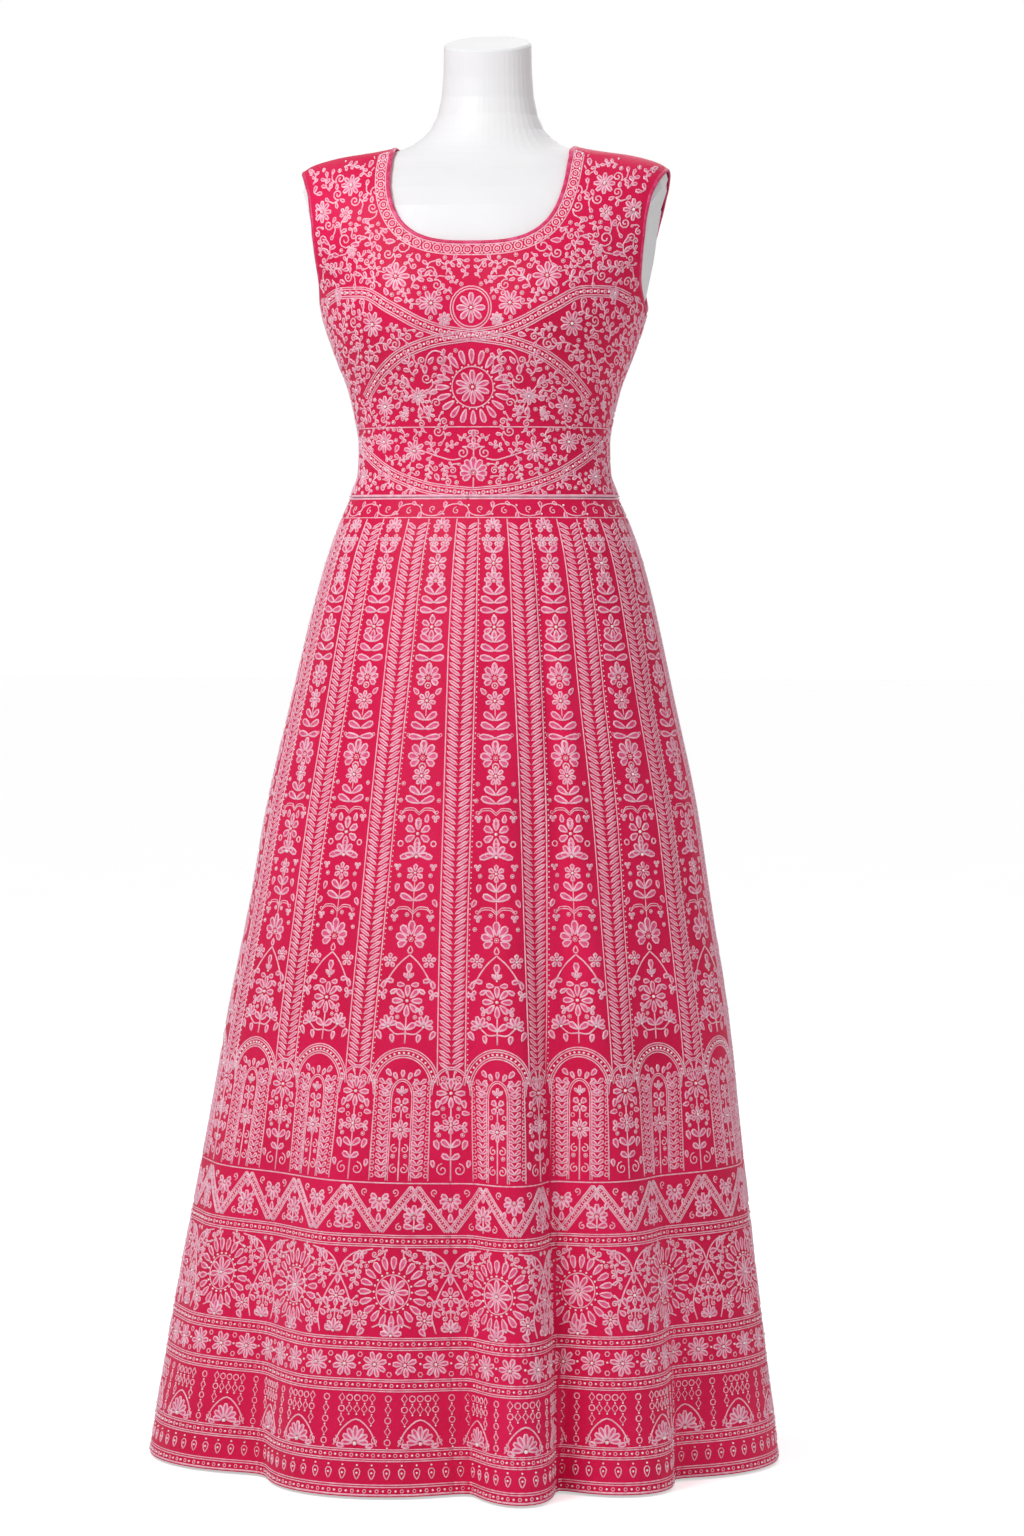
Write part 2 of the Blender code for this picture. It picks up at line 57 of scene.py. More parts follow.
NECK_DROP_BACK = 0.045
NECK_SQUARENESS = 3.1
ARMHOLE_BOTTOM_Z = 1.199
ARMHOLE_TOP_Z = 1.3445
ARMHOLE_FRONT = 0.056
ARMHOLE_BACK = 0.06
ARM_PLATE_X = 0.1737
ARM_PLATE_Z = 1.225
ARM_PLATE_LEAN = 0.065
SHOULDER_TIP_Z = 1.29
SHOULDER_TIP_LEAN = 0.25
PLATE_EDGE = 0.0015
BUST_X, BUST_Z = 0.08, 1.195
BUST_HEIGHT, BUST_SPREAD = 0.018, 0.058
NECK_BACK = 0.03
NECK_BACK_FROM, NECK_BACK_TO = 1.3, 1.42
NECK_SLANT = math.radians(15)
NECK_SLANT_FROM, NECK_SLANT_TO = 1.4, 1.479
FLUTE_FADE = 1.6
FLUTE_ROUNDING = 0.45
FLUTE_FULL_DEPTH = 0.04
CREASE_FADE = 0.30  # as a share of a crease's length, at each end
KALI_COUNT = 16
FIRST_SEAM_DEG = -2.4

FIGURE_COLUMNS = ("z", "half_width", "front", "back", "squareness")
FIGURE = (
    (0.8, 0.146, 0.098, 0.104, 2.3),
    (0.83, 0.157, 0.106, 0.112, 2.3),
    (0.87, 0.16, 0.108, 0.116, 2.3),
    (0.91, 0.155, 0.106, 0.112, 2.3),
    (0.95, 0.146, 0.101, 0.101, 2.3),
    (0.98, 0.14, 0.098, 0.093, 2.3),
    (1.004, 0.1366, 0.096, 0.088, 2.3),
    (1.03, 0.1281, 0.092, 0.081, 2.3),
    (1.06, 0.1271, 0.091, 0.077, 2.3),
    (1.09, 0.1316, 0.094, 0.078, 2.3),
    (1.12, 0.1391, 0.099, 0.082, 2.3),
    (1.155, 0.1526, 0.106, 0.089, 2.3),
    (1.19, 0.1645, 0.108, 0.096, 2.3),
    (1.22, 0.1715, 0.106, 0.1, 2.3),
    (1.25, 0.183, 0.101, 0.103, 2.4),
    (1.265, 0.1885, 0.0973, 0.1037, 2.45),
    (1.28, 0.1925, 0.093, 0.104, 2.5),
    (1.305, 0.196, 0.084, 0.101, 2.5),
    (1.325, 0.196, 0.074, 0.093, 2.4),
    (1.336, 0.1935, 0.067, 0.085, 2.3),
    (1.343, 0.19, 0.062, 0.079, 2.2),
    (1.348, 0.1835, 0.058, 0.074, 2.1),
    (1.3535, 0.169, 0.055, 0.07, 2.0),
    (1.358, 0.15, 0.053, 0.067, 2.0),
    (1.3605, 0.133, 0.052, 0.0655, 2.0),
    (1.363, 0.117, 0.051, 0.064, 2.0),
    (1.3657, 0.103, 0.0505, 0.063, 2.0),
    (1.369, 0.09, 0.0495, 0.0615, 2.0),
    (1.374, 0.0785, 0.0485, 0.06, 2.0),
    (1.381, 0.0685, 0.0475, 0.0585, 2.0),
    (1.39, 0.06, 0.046, 0.056, 2.0),
    (1.405, 0.053, 0.043, 0.053, 2.0),
    (1.425, 0.0485, 0.041, 0.051, 2.0),
    (1.45, 0.0465, 0.04, 0.05, 2.0),
    (1.479, 0.046, 0.04, 0.05, 2.0),
)

SKIRT_COLUMNS = ("z", "minus_x", "plus_x", "front", "back", "squareness")
SKIRT = (
    (0.000, 0.3545, 0.322, 0.296, 0.296, 2.00),
    (0.127, 0.334, 0.307, 0.279, 0.279, 2.00),
    (0.256, 0.31, 0.289, 0.256, 0.256, 2.00),
    (0.363, 0.289, 0.273, 0.236, 0.238, 2.00),
    (0.47, 0.27, 0.258, 0.216, 0.218, 2.00),
    (0.577, 0.248, 0.239, 0.196, 0.198, 2.00),
    (0.686, 0.2285, 0.222, 0.175, 0.178, 2.00),
    (0.793, 0.203, 0.199, 0.155, 0.158, 2.05),
    (0.9, 0.1765, 0.1755, 0.133, 0.134, 2.15),
    (0.95, 0.1615, 0.1615, 0.119, 0.119, 2.25),
    (0.986, 0.148, 0.148, 0.106, 0.099, 2.3),
    (1.004, 0.1405, 0.1405, 0.0998, 0.0918, 2.3),
    (1.01, 0.1385, 0.1385, 0.0978, 0.0898, 2.3),
)

FLUTE_COLUMNS = ("azimuth_deg", "depth", "reach", "crest")
FLUTES = (
    (-155, 0.04, 0.66, 0.000),
    (-130, 0.042, 0.6, 0.002),
    (-105, 0.04, 0.62, 0.002),
    (-50, 0.05, 0.64, 0.000),
    (3, 0.04, 0.6, 0.022),
    (24, 0.048, 0.95, 0.000),
    (54, 0.046, 0.72, -0.006),
    (105, 0.04, 0.6, 0.000),
    (130, 0.044, 0.68, 0.002),
    (155, 0.038, 0.6, 0.004),
    (180, 0.046, 0.74, 0.002),
)

# Soft troughs (depth below zero) and ridges of the skirt that only this script has: azimuth in degrees,
# depth, width in degrees, and the heights between which it runs
CREASES = (
    (31.0, -0.006, 2.6, 0.3, 0.985),
    (36.5, 0.003, 3.0, 0.3, 0.96),
    (-14.0, -0.0016, 3.0, 0.45, 0.93),
    (9.0, -0.0018, 3.5, 0.5, 0.96),
    (-38.0, -0.002, 3.5, 0.4, 0.9),
    (-63.0, -0.0016, 3.0, 0.35, 0.86),
    (-20.0, -0.004, 3.5, 0.00, 0.33),
    (-30.0, 0.003, 4.0, 0.00, 0.36),
    (-75.0, -0.004, 4.0, 0.02, 0.4),
    (72.0, -0.003, 3.0, 0.4, 0.9),
    (86.0, -0.004, 4.0, 0.02, 0.42),
    (98.0, -0.002, 3.0, 0.45, 0.93),
    (122.0, -0.0026, 3.2, 0.4, 0.88),
    (143.0, -0.0018, 3.0, 0.5, 0.95),
    (168.0, -0.0026, 3.0, 0.42, 0.9),
    (-168.0, -0.0018, 3.4, 0.48, 0.94),
    (-142.0, -0.0024, 3.0, 0.44, 0.9),
    (-118.0, -0.0018, 3.0, 0.5, 0.92),
    (-92.0, -0.0024, 3.4, 0.46, 0.88),
)

# What hangs on a vine's stem from the top down: form, height above the floor and size
VINE = (
    ("loops", 0.9735, 0.012), ("twins", 0.96, 0.007), ("leaves_up", 0.948, 0.011),
    ("flower", 0.9365, 0.0105), ("bead", 0.9265, 0.0012), ("loops", 0.9185, 0.012),
    ("leaves_up", 0.905, 0.0125), ("leaves_out", 0.8965, 0.0135), ("leaves_flat", 0.8875, 0.0135),
    ("bead", 0.8835, 0.0012), ("flower", 0.8715, 0.0115), ("leaves_up", 0.8565, 0.0125),
    ("leaves_out", 0.8475, 0.014), ("leaves_flat", 0.8385, 0.0145), ("drop", 0.8315, 0.0045),
    ("loops", 0.8195, 0.015), ("ring", 0.812, 0.003), ("flower", 0.7965, 0.0095),
    ("stem", 0.786, 0.01), ("leaves_up", 0.777, 0.013), ("leaves_out", 0.768, 0.015),
    ("leaves_curled", 0.759, 0.016), ("drop", 0.751, 0.0055), ("loops", 0.7385, 0.018),
    ("ring", 0.73, 0.0034), ("flower", 0.7205, 0.0092), ("stem", 0.711, 0.01),
    ("leaves_up", 0.7015, 0.013), ("leaves_out", 0.693, 0.0155), ("moustache", 0.685, 0.019),
    ("drop", 0.6725, 0.006), ("flower", 0.662, 0.014), ("side_rings", 0.652, 0.0175),
)

# Flowers and sprigs of the bodice, drawn on both sides of its centre line: form, x, height, size and turn
SPRIGS = (
    ("flower", 0.0775, 1.229, 0.014, 0), ("flower", 0.0415, 1.202, 0.0125, 22),
    ("flower", 0.057, 1.109, 0.009, 0), ("flower", 0.095, 1.099, 0.011, 0),
    ("flower", 0.062, 1.052, 0.0115, 10), ("flower", 0.098, 1.0617, 0.0115, 0),
    ("flower", 0.132, 1.325, 0.011, 0), ("flower", 0.164, 1.299, 0.011, 0),
    ("flower", 0.1037, 1.182, 0.0125, 22), ("flower", 0.0277, 1.186, 0.007, 0),
    ("flower", 0.133, 1.025, 0.011, 0), ("hook", 0.072, 1.26, 0.0095, -150),
    ("hook", 0.136, 1.269, 0.0085, 30), ("hook", 0.104, 1.318, 0.006, 120),
    ("hook", 0.09, 1.338, 0.005, 60), ("hook", 0.032, 1.146, 0.0055, -60),
    ("hook", 0.0378, 1.102, 0.005, 150), ("hook", 0.042, 1.233, 0.006, 200),
    ("hook", 0.15, 1.157, 0.007, 10), ("hook", 0.078, 1.162, 0.0055, -100),
    ("hook", 0.095, 1.125, 0.0052, 20), ("sprig_flower", 0.14, 1.274, 0.018, 12),
    ("sprig_flower", 0.135, 1.24, 0.015, 20), ("sprig_curl", 0.105, 1.256, 0.019, -35),
    ("sprig_curl", 0.097, 1.28, 0.017, 70), ("sprig_curl", 0.113, 1.274, 0.013, 10),
    ("sprig_leaf", 0.123, 1.238, 0.016, 30), ("sprig_leaf", 0.0945, 1.248, 0.013, -60),
    ("sprig_leaf", 0.024, 1.242, 0.016, 80), ("sprig_leaf", 0.015, 1.221, 0.011, -30),
    ("sprig_leaf", 0.062, 1.212, 0.012, -70), ("sprig_curl", 0.163, 1.25, 0.02, 10),
    ("sprig_flower", 0.161, 1.23, 0.015, 160), ("sprig_leaf", 0.156, 1.32, 0.016, -20),
    ("sprig_leaf", 0.112, 1.34, 0.014, 60), ("sprig_leaf", 0.144, 1.345, 0.013, 90),
    ("sprig_curl", 0.128, 1.19, 0.017, 50), ("sprig_leaf", 0.142, 1.187, 0.016, 10),
    ("sprig_leaf", 0.157, 1.202, 0.015, 30), ("sprig_curl", 0.123, 1.156, 0.016, -20),
    ("sprig_leaf", 0.088, 1.178, 0.012, 100), ("sprig_leaf", 0.136, 1.13, 0.015, 20),
    ("sprig_leaf", 0.07, 1.125, 0.016, -60), ("sprig_leaf", 0.068, 1.098, 0.014, -130),
    ("sprig_curl", 0.038, 1.125, 0.013, 50), ("sprig_leaf", 0.048, 1.1, 0.013, 170),
    ("sprig_leaf", 0.079, 1.106, 0.012, 80), ("sprig_flower", 0.0706, 1.083, 0.008, 0),
    ("sprig_leaf", 0.038, 1.048, 0.016, -20), ("sprig_leaf", 0.03, 1.052, 0.012, 60),
    ("sprig_leaf", 0.033, 1.04, 0.011, 170), ("sprig_leaf", 0.047, 1.035, 0.011, 190),
    ("sprig_curl", 0.078, 1.06, 0.014, 10), ("sprig_leaf", 0.081, 1.038, 0.011, 60),
    ("sprig_leaf", 0.114, 1.09, 0.015, 0), ("sprig_curl", 0.121, 1.05, 0.014, 0),
    ("sprig_leaf", 0.115, 1.018, 0.016, 60), ("sprig_curl", 0.15, 1.05, 0.015, 0),
    ("sprig_leaf", 0.16, 1.02, 0.015, 10), ("sprig_flower", 0.148, 1.085, 0.013, 10),
    ("sprig_leaf", 0.165, 1.095, 0.015, 0), ("sprig_leaf", 0.175, 1.14, 0.015, 0),
)

# Camera and room, from the photograph's view
CAMERA_AZIMUTH = math.radians(6.4)
CAMERA_DISTANCE = 5.0
CAMERA_HEIGHT = 0.95
CAMERA_ASIDE = 0.0289
CAMERA_PITCH = math.radians(2.62)
SENSOR_WIDTH = 36.0
METRES_IN_VIEW = 1.6128  # along the frame's longer side, at the gown's axis

# Strength of the white surroundings: as light, and as seen behind the gown
AMBIENT_LIGHT = 0.46
BACKDROP_LIGHT = 1.0
FLOOR_HALF = 30.0

# Lamps: name, place, width and power
LAMPS = (
    ("key", (-1.3, -1.9, 3.0), 1.2, 50.0),
    ("fill", (3.0, -2.8, 2.2), 2.5, 11.0),
    ("back", (0.5, 3.0, 2.8), 2.5, 20.0),
)
LAMP_TARGET = (0, 0, 0.9)

# Fineness
SKIRT_ROWS = 500
SKIRT_STEPS = 2048
SHELL_ROWS = 56
SHELL_COLUMNS = 16
BODICE_ROWS = 220
BODICE_STEPS = 300
BODICE_REACH = 0.285  # how far the bodice's layout goes to each side of its centre line
TURN_LENGTH = 0.14  # metres of the bodice's flat grid for one radian round the form
LAYOUT_TOP_Z = 1.3675  # height that the bodice's layout reaches
LAYOUT_TURN_DEG = 110
GRID_TURN = math.radians(2.2)
GRID_STEP = 0.005
GRID_MARGIN = 0.0022  # how far the bodice's inner points keep from its outline
HALVINGS = 40
SIDE_SEAM_TURN = 0.0012  # radians that each bodice half keeps from the side seam's middle
WAIST_GAP = 0.0002
SHELL_GAP = 0.00004  # on each side of a seam between panels

# The satin roll of a bound edge: its middle beside and above the edge, its half width and half height
ROLL_BESIDE, ROLL_ABOVE = 0.0012, 0.0008
ROLL_HALF_WIDTH, ROLL_HALF_HEIGHT = 0.0021, 0.0013
ROLL_SIDES = 10

# Embroidery
CORD_WIDTH = 0.0017
FINE_CORD = 0.0014
SLIM_CORD = 0.0013
CORD_HEIGHT = 0.001
FILL_HEIGHT = 0.00045
MIDDLE_HEIGHT = FILL_HEIGHT * 1.6  # of a pad
SUNK = 0.0002  # how deep the feet of the embroidery are let into the cloth
BEAD_HEIGHT = 0.9  # as a share of a bead's width
NECK_ROW = 0.0135  # how far the row of rings reaches from the neckline
MOST_STRETCH = 2.4  # no stroke is laid where the bodice's layout stretches more, as over the shoulder
BEAD_SIDES = 6
BEAD_SHOULDER = 0.8  # its width as a share of the bead's
BEAD_TOP = 1.4  # its height as a share of the shoulder's
TRIANGLE_SLOTS = {"cord": 0, "ring": 0, "pad": 1, "bead": 2}  # materials of each stroke's triangles
QUAD_SLOTS = {"cord": 0, "ring": 0, "pad": 0, "bead": 2}
GROUND_TOP_Z = 1.362  # where the embroidery of the bodice ends
SMALL_RISE = 0.001  # for telling how much the layout stretches
HOLE_MARGIN_UP, HOLE_MARGIN_ASIDE = 0.004, 0.006  # how far the embroidery keeps from an armhole
ARMHOLE_FROM_X = 0.12
SEAM_MARGIN = 0.001
CHEVRON_TOP, CHEVRON_BOTTOM, CHEVRON_ROW = 0.978, 0.426, 0.006
ARCH_FOOT, ARCH_SPRING, ARCH_TOP = 0.3155, 0.405, 0.4335
ZIGZAG_TOP, ZIGZAG_BOTTOM, ZIGZAG_COUNT = 0.31, 0.264, 24
ROSETTE_Z, ROSETTE_RADIUS = 0.205, 0.034
BORDERS_Z = (0.2555, 0.154, 0.113, 0.044)
BORDER_HALF = 0.0058
BORDER_STEP = 0.0056
LEVEL_STEP = 0.008


def smooth_through(knots, values, where):
    """Values of a smooth curve through the knots that never overshoots them (monotone cubic)."""
    knots, values, where = (np.asarray(x, float) for x in (knots, values, where))
    step = np.diff(knots)
    slope = np.diff(values) / step
    tangent = np.zeros(len(knots))
    tangent[0], tangent[-1] = slope[0], slope[-1]
    same_way = slope[:-1] * slope[1:] > 0
    weight_a, weight_b = 2 * step[1:] + step[:-1], step[1:] + 2 * step[:-1]
    safe = np.where(same_way, slope[:-1] * slope[1:], 1.0)
    mean = (weight_a + weight_b) * safe / (weight_a * slope[1:] + weight_b * slope[:-1] + (~same_way))
    tangent[1:-1] = np.where(same_way, mean, 0.0)
    i = np.clip(np.searchsorted(knots, where) - 1, 0, len(step) - 1)
    t = np.clip((where - knots[i]) / step[i], 0, 1)
    rise = values[i] * (2 * t**3 - 3 * t**2 + 1) + values[i + 1] * (3 * t**2 - 2 * t**3)
    lean = tangent[i] * (t**3 - 2 * t**2 + t) + tangent[i + 1] * (t**3 - t**2)
    return rise + lean * step[i]


FIGURE_TABLE = dict(zip(FIGURE_COLUMNS, np.array(FIGURE).T))
SKIRT_TABLE = dict(zip(SKIRT_COLUMNS, np.array(SKIRT).T))
FLUTE_TABLE = dict(zip(FLUTE_COLUMNS, np.array(FLUTES).T))

PROFILE = np.concatenate(
    [[0], np.cumsum(np.hypot(np.diff(FIGURE_TABLE["z"]), np.diff(FIGURE_TABLE["half_width"])))]
)
PROFILE_FINE = np.linspace(0, PROFILE[-1], 2000)
HEIGHT_FINE = smooth_through(PROFILE, FIGURE_TABLE["z"], PROFILE_FINE)


def profile_at(height):
    """How far along the side profile the form reaches this height."""
    return np.interp(height, HEIGHT_FINE, PROFILE_FINE)


def smoothstep(t):
    """A soft step from 0 to 1."""
    t = np.clip(t, 0, 1)
    return t * t * (3 - 2 * t)


def neck_back(z):
    """How far behind the torso's axis the ring at this height is centred."""
    return NECK_BACK * smoothstep((z - NECK_BACK_FROM) / (NECK_BACK_TO - NECK_BACK_FROM))


def figure(azimuth, along):
    """Points of the form's surface at azimuths in radians and distances along the side profile."""
    z, half_width, front, back, square = (
        smooth_through(PROFILE, FIGURE_TABLE[name], along) for name in FIGURE_COLUMNS
    )
    side, ahead = np.sin(azimuth), np.cos(azimuth)
    depth = np.where(ahead > 0, front, back)
    radius = (np.abs(side / half_width) ** square + np.abs(ahead / depth) ** square) ** (-1 / square)
    plate = ARM_PLATE_X + ARM_PLATE_LEAN * (z - ARM_PLATE_Z)
    plate = plate + SHOULDER_TIP_LEAN * np.maximum(0, z - SHOULDER_TIP_Z)
    reach = np.abs(radius * side)
    x = np.sign(side) * (reach - PLATE_EDGE * np.log1p(np.exp((reach - plate) / PLATE_EDGE)))
    y = -radius * ahead
    bust = sum(
        np.exp(-(((x - at) / BUST_SPREAD) ** 2) - ((z - BUST_Z) / BUST_SPREAD) ** 2)
        for at in (-BUST_X, BUST_X)
    )
    y = y - BUST_HEIGHT * bust * smoothstep(2 * ahead)
    slant = math.tan(NECK_SLANT) * smoothstep((z - NECK_SLANT_FROM) / (NECK_SLANT_TO - NECK_SLANT_FROM))
    return np.stack([x, y + neck_back(z), z + slant * y], axis=-1)


def flutes(azimuth, z):
    """How far the skirt's flutes move a point outwards, and how far round, in radians."""
    degrees = np.degrees(azimuth)
    start = np.append(FLUTE_TABLE["azimuth_deg"], FLUTE_TABLE["azimuth_deg"][0] + 360)
    degrees = start[0] + np.mod(degrees - start[0], 360)
    lobe = np.clip(np.searchsorted(start, degrees, side="right") - 1, 0, len(start) - 2)
    after = (lobe + 1) % len(FLUTES)
    share = (degrees - start[lobe]) / (start[lobe + 1] - start[lobe])
    fall = [
        FLUTE_TABLE["depth"][i] * np.clip(1 - z / FLUTE_TABLE["reach"][i], 0, 1) ** FLUTE_FADE
        for i in (lobe, after)
    ]
    valley = -(fall[0] + (fall[1] - fall[0]) * smoothstep(share))
    tallest = np.maximum(FLUTE_TABLE["reach"][lobe], FLUTE_TABLE["reach"][after])
    crest = FLUTE_TABLE["crest"][lobe] * np.clip(1 - z / tallest, 0, 1) ** FLUTE_FADE
    outwards = valley + (crest - valley) * (1 - np.cos(2 * math.pi * share)) / 2
    width = np.radians(start[lobe + 1] - start[lobe])
    strength = np.clip((crest - valley) / FLUTE_FULL_DEPTH, 0, 1)
    sideways = -FLUTE_ROUNDING * strength * width / (2 * math.pi) * np.sin(2 * math.pi * share)
    return outwards, sideways


def creases(azimuth, z):
    """How far the soft troughs and ridges move a point of the skirt outwards."""
    moved = 0.0
    for at, depth, width, bottom, top in CREASES:
        off = np.mod(np.degrees(azimuth) - at + 180, 360) - 180
        span = CREASE_FADE * (top - bottom)
        fade = smoothstep((z - bottom) / span) * smoothstep((top - z) / span)
        moved = moved + depth * np.exp(-((off / width) ** 2)) * fade
    return moved


def skirt(azimuth, z):
    """Points of the skirt's outer face at azimuths in radians and heights."""
    outwards, sideways = flutes(azimuth, z)
    minus_x, plus_x, front, back, square = (
        smooth_through(SKIRT_TABLE["z"], SKIRT_TABLE[name], z) for name in SKIRT_COLUMNS[1:]
    )
    side, ahead = np.sin(azimuth + sideways), np.cos(azimuth + sideways)
    half_width = np.where(side > 0, plus_x, minus_x)
    depth = np.where(ahead > 0, front, back)
    radius = (np.abs(side / half_width) ** square + np.abs(ahead / depth) ** square) ** (-1 / square)
    radius = radius + outwards + creases(azimuth, z)
    return np.stack([radius * side, -radius * ahead, z], axis=-1)


def frame_of(surface, azimuth, along):
    """The surface's two directions and its outward unit normal at each point."""
    turn, step = 1e-3, 1e-4
    turning = (surface(azimuth + turn, along) - surface(azimuth - turn, along)) / (2 * turn)
    rising = (surface(azimuth, along + step) - surface(azimuth, along - step)) / (2 * step)
    normal = np.cross(turning, rising)
    normal /= np.linalg.norm(normal, axis=-1, keepdims=True)
    return turning, rising, normal


class Cloth:
    """A grid of points and normals of a piece of cloth, read smoothly between its rows and columns."""

    def __init__(self, points, normals, low_x, high_x, low_y, high_y):
        self.values = np.concatenate([points, normals], axis=-1)
        self.low = np.array((low_x, low_y))
        self.size = np.array((high_x - low_x, high_y - low_y))

    def at(self, x, y, out):
        """Points at distances out from the cloth, at places x and y of its layout."""
        rows, columns = self.values.shape[:2]
        column = np.clip((x - self.low[0]) / self.size[0], 0, 1) * (columns - 1)
        row = np.clip((y - self.low[1]) / self.size[1], 0, 1) * (rows - 1)
        c = np.minimum(column.astype(int), columns - 2)
        r = np.minimum(row.astype(int), rows - 2)
        s, t = (column - c)[..., None], (row - r)[..., None]
        below = self.values[r, c] * (1 - s) + self.values[r, c + 1] * s
        above = self.values[r + 1, c] * (1 - s) + self.values[r + 1, c + 1] * s
        value = below * (1 - t) + above * t
        normal = value[..., 3:]
        normal = normal / np.linalg.norm(normal, axis=-1, keepdims=True)
        return value[..., :3] + normal * np.asarray(out)[..., None]


def skirt_cloth():
    """The skirt's cloth, laid out by share of the way round and height, and its length at each height."""
    heights = np.linspace(HEM_Z, WAIST_SEAM_Z, SKIRT_ROWS)
    turn = np.linspace(0, 2 * math.pi, 1441) + math.radians(FIRST_SEAM_DEG)
    shares = np.linspace(0, 1, SKIRT_STEPS)
    azimuth = np.empty((SKIRT_ROWS, SKIRT_STEPS))
    lengths = np.empty(SKIRT_ROWS)
    for row, z in enumerate(heights):
        ring = skirt(turn, np.full(len(turn), z))
        length = np.append(0, np.cumsum(np.linalg.norm(np.diff(ring, axis=0), axis=1)))
        azimuth[row] = np.interp(shares * length[-1], length, turn)
        lengths[row] = length[-1]
    z = np.repeat(heights[:, None], SKIRT_STEPS, axis=1)
    points = skirt(azimuth, z)
    normals = frame_of(skirt, azimuth, z)[2]
    return Cloth(points, normals, 0, 1, HEM_Z, WAIST_SEAM_Z), heights, lengths


def bodice_cloth(is_front):
    """Half of the bodice's outer face, laid out by distance from its centre line and height."""
    heights = np.linspace(WAIST_SEAM_Z, LAYOUT_TOP_Z, BODICE_ROWS)
    reach = np.linspace(0, BODICE_REACH, BODICE_STEPS)
    turn = np.linspace(0, math.radians(LAYOUT_TURN_DEG), 400)
    azimuth = np.empty((BODICE_ROWS, BODICE_STEPS))
    for row, along in enumerate(profile_at(heights)):
        ring = figure(turn if is_front else math.pi - turn, np.full(len(turn), along))
        length = np.append(0, np.cumsum(np.linalg.norm(np.diff(ring, axis=0), axis=1)))
        azimuth[row] = np.interp(reach, length, turn)
    if not is_front:
        azimuth = math.pi - azimuth
    along = np.repeat(profile_at(heights)[:, None], BODICE_STEPS, axis=1)
    normals = frame_of(figure, azimuth, along)[2]
    points = figure(azimuth, along) + (EASE + CLOTH) * normals
    return Cloth(points, normals, 0, BODICE_REACH, WAIST_SEAM_Z, LAYOUT_TOP_Z)


SKIRT_CLOTH, SKIRT_HEIGHTS, SKIRT_LENGTHS = skirt_cloth()
FRONT_CLOTH = bodice_cloth(True)
BACK_CLOTH = bodice_cloth(False)


def skirt_length(z):
    """The cloth's length all round the skirt at a height."""
    return np.interp(z, SKIRT_HEIGHTS, SKIRT_LENGTHS)


def lay_on_skirt(x, y, out, place):
    """Places of the skirt's layout: x is measured from the share of the way round that place gives."""
    share = np.mod(place + x / skirt_length(y), 1 + 1e-9)
    return SKIRT_CLOTH.at(share, y, out)


def lay_on_bodice(x, y, out, place):
    """Places of the bodice's layout, with x from its centre line. Place 0 is the front and 1 the back."""
    front = FRONT_CLOTH.at(np.abs(x), y, out)
    back = BACK_CLOTH.at(np.abs(x), y, out)
    laid = np.where(np.broadcast_to(place, x.shape)[..., None] < 0.5, front, back)
    laid[..., 0] *= np.where(x < 0, -1, 1)
    return laid


def set_inputs(shader, **values):
    """Set a shader's inputs, with an underscore for each space of their names."""
    for name, value in values.items():
        shader.inputs[name.replace("_", " ")].default_value = value


def srgb(hexadecimal):
    """The linear colour of a six-digit screen colour."""
    channels = [int(hexadecimal[i : i + 2], 16) / 255 for i in (0, 2, 4)]
    return (*[((c + 0.055) / 1.055) ** 2.4 if c > 0.04 else c / 12.92 for c in channels], 1.0)


def noise(tree, scale, detail=2.0, stretch=(1, 1, 1)):
    """Noise in object coordinates, with its own stretch."""
    place = tree.nodes.new("ShaderNodeTexCoord")
    mapping = tree.nodes.new("ShaderNodeMapping")
    mapping.inputs["Scale"].default_value = stretch
    texture = tree.nodes.new("ShaderNodeTexNoise")
    texture.inputs["Scale"].default_value = scale
    texture.inputs["Detail"].default_value = detail
    tree.links.new(place.outputs["Object"], mapping.inputs["Vector"])
    tree.links.new(mapping.outputs["Vector"], texture.inputs["Vector"])
    return texture.outputs["Fac"]


def ramp(tree, source, *stops):
    """A colour ramp from stops of position and screen colour."""
    node = tree.nodes.new("ShaderNodeValToRGB")
    elements = node.color_ramp.elements
    elements[0].position, elements[1].position = stops[0][0], stops[-1][0]
    elements[0].color, elements[1].color = srgb(stops[0][1]), srgb(stops[-1][1])
    for position, colour in stops[1:-1]:
        elements.new(position).color = srgb(colour)
    tree.links.new(source, node.inputs["Fac"])
    return node.outputs["Color"]


def dyed_material(name, scale, detail, *stops):
    """A material whose colour wanders through the stops, with its node tree and shader."""
    made = bpy.data.materials.new(name)
    made.use_nodes = True
    tree = made.node_tree
    shader = tree.nodes["Principled BSDF"]
    tree.links.new(ramp(tree, noise(tree, scale, detail), *stops), shader.inputs["Base Color"])
    return made, tree, shader


def backdrop_strength(tree, elsewhere):
    """A strength that is the same everywhere, and brighter where the camera sees the backdrop."""
    seen = tree.nodes.new("ShaderNodeLightPath")
    strength = tree.nodes.new("ShaderNodeMath")
    strength.operation = "MULTIPLY_ADD"
    strength.inputs[1].default_value = BACKDROP_LIGHT - AMBIENT_LIGHT
    strength.inputs[2].default_value = elsewhere
    tree.links.new(seen.outputs["Is Camera Ray"], strength.inputs[0])
    return strength.outputs["Value"]


def bump(tree, shader, source, strength, distance):
    """Bump from a height, over any bump that the shader already has."""
    node = tree.nodes.new("ShaderNodeBump")
    node.inputs["Strength"].default_value = strength
    node.inputs["Distance"].default_value = distance
    tree.links.new(source, node.inputs["Height"])
    before = shader.inputs["Normal"].links
    if before:
        tree.links.new(before[0].from_socket, node.inputs["Normal"])
    tree.links.new(node.outputs["Normal"], shader.inputs["Normal"])


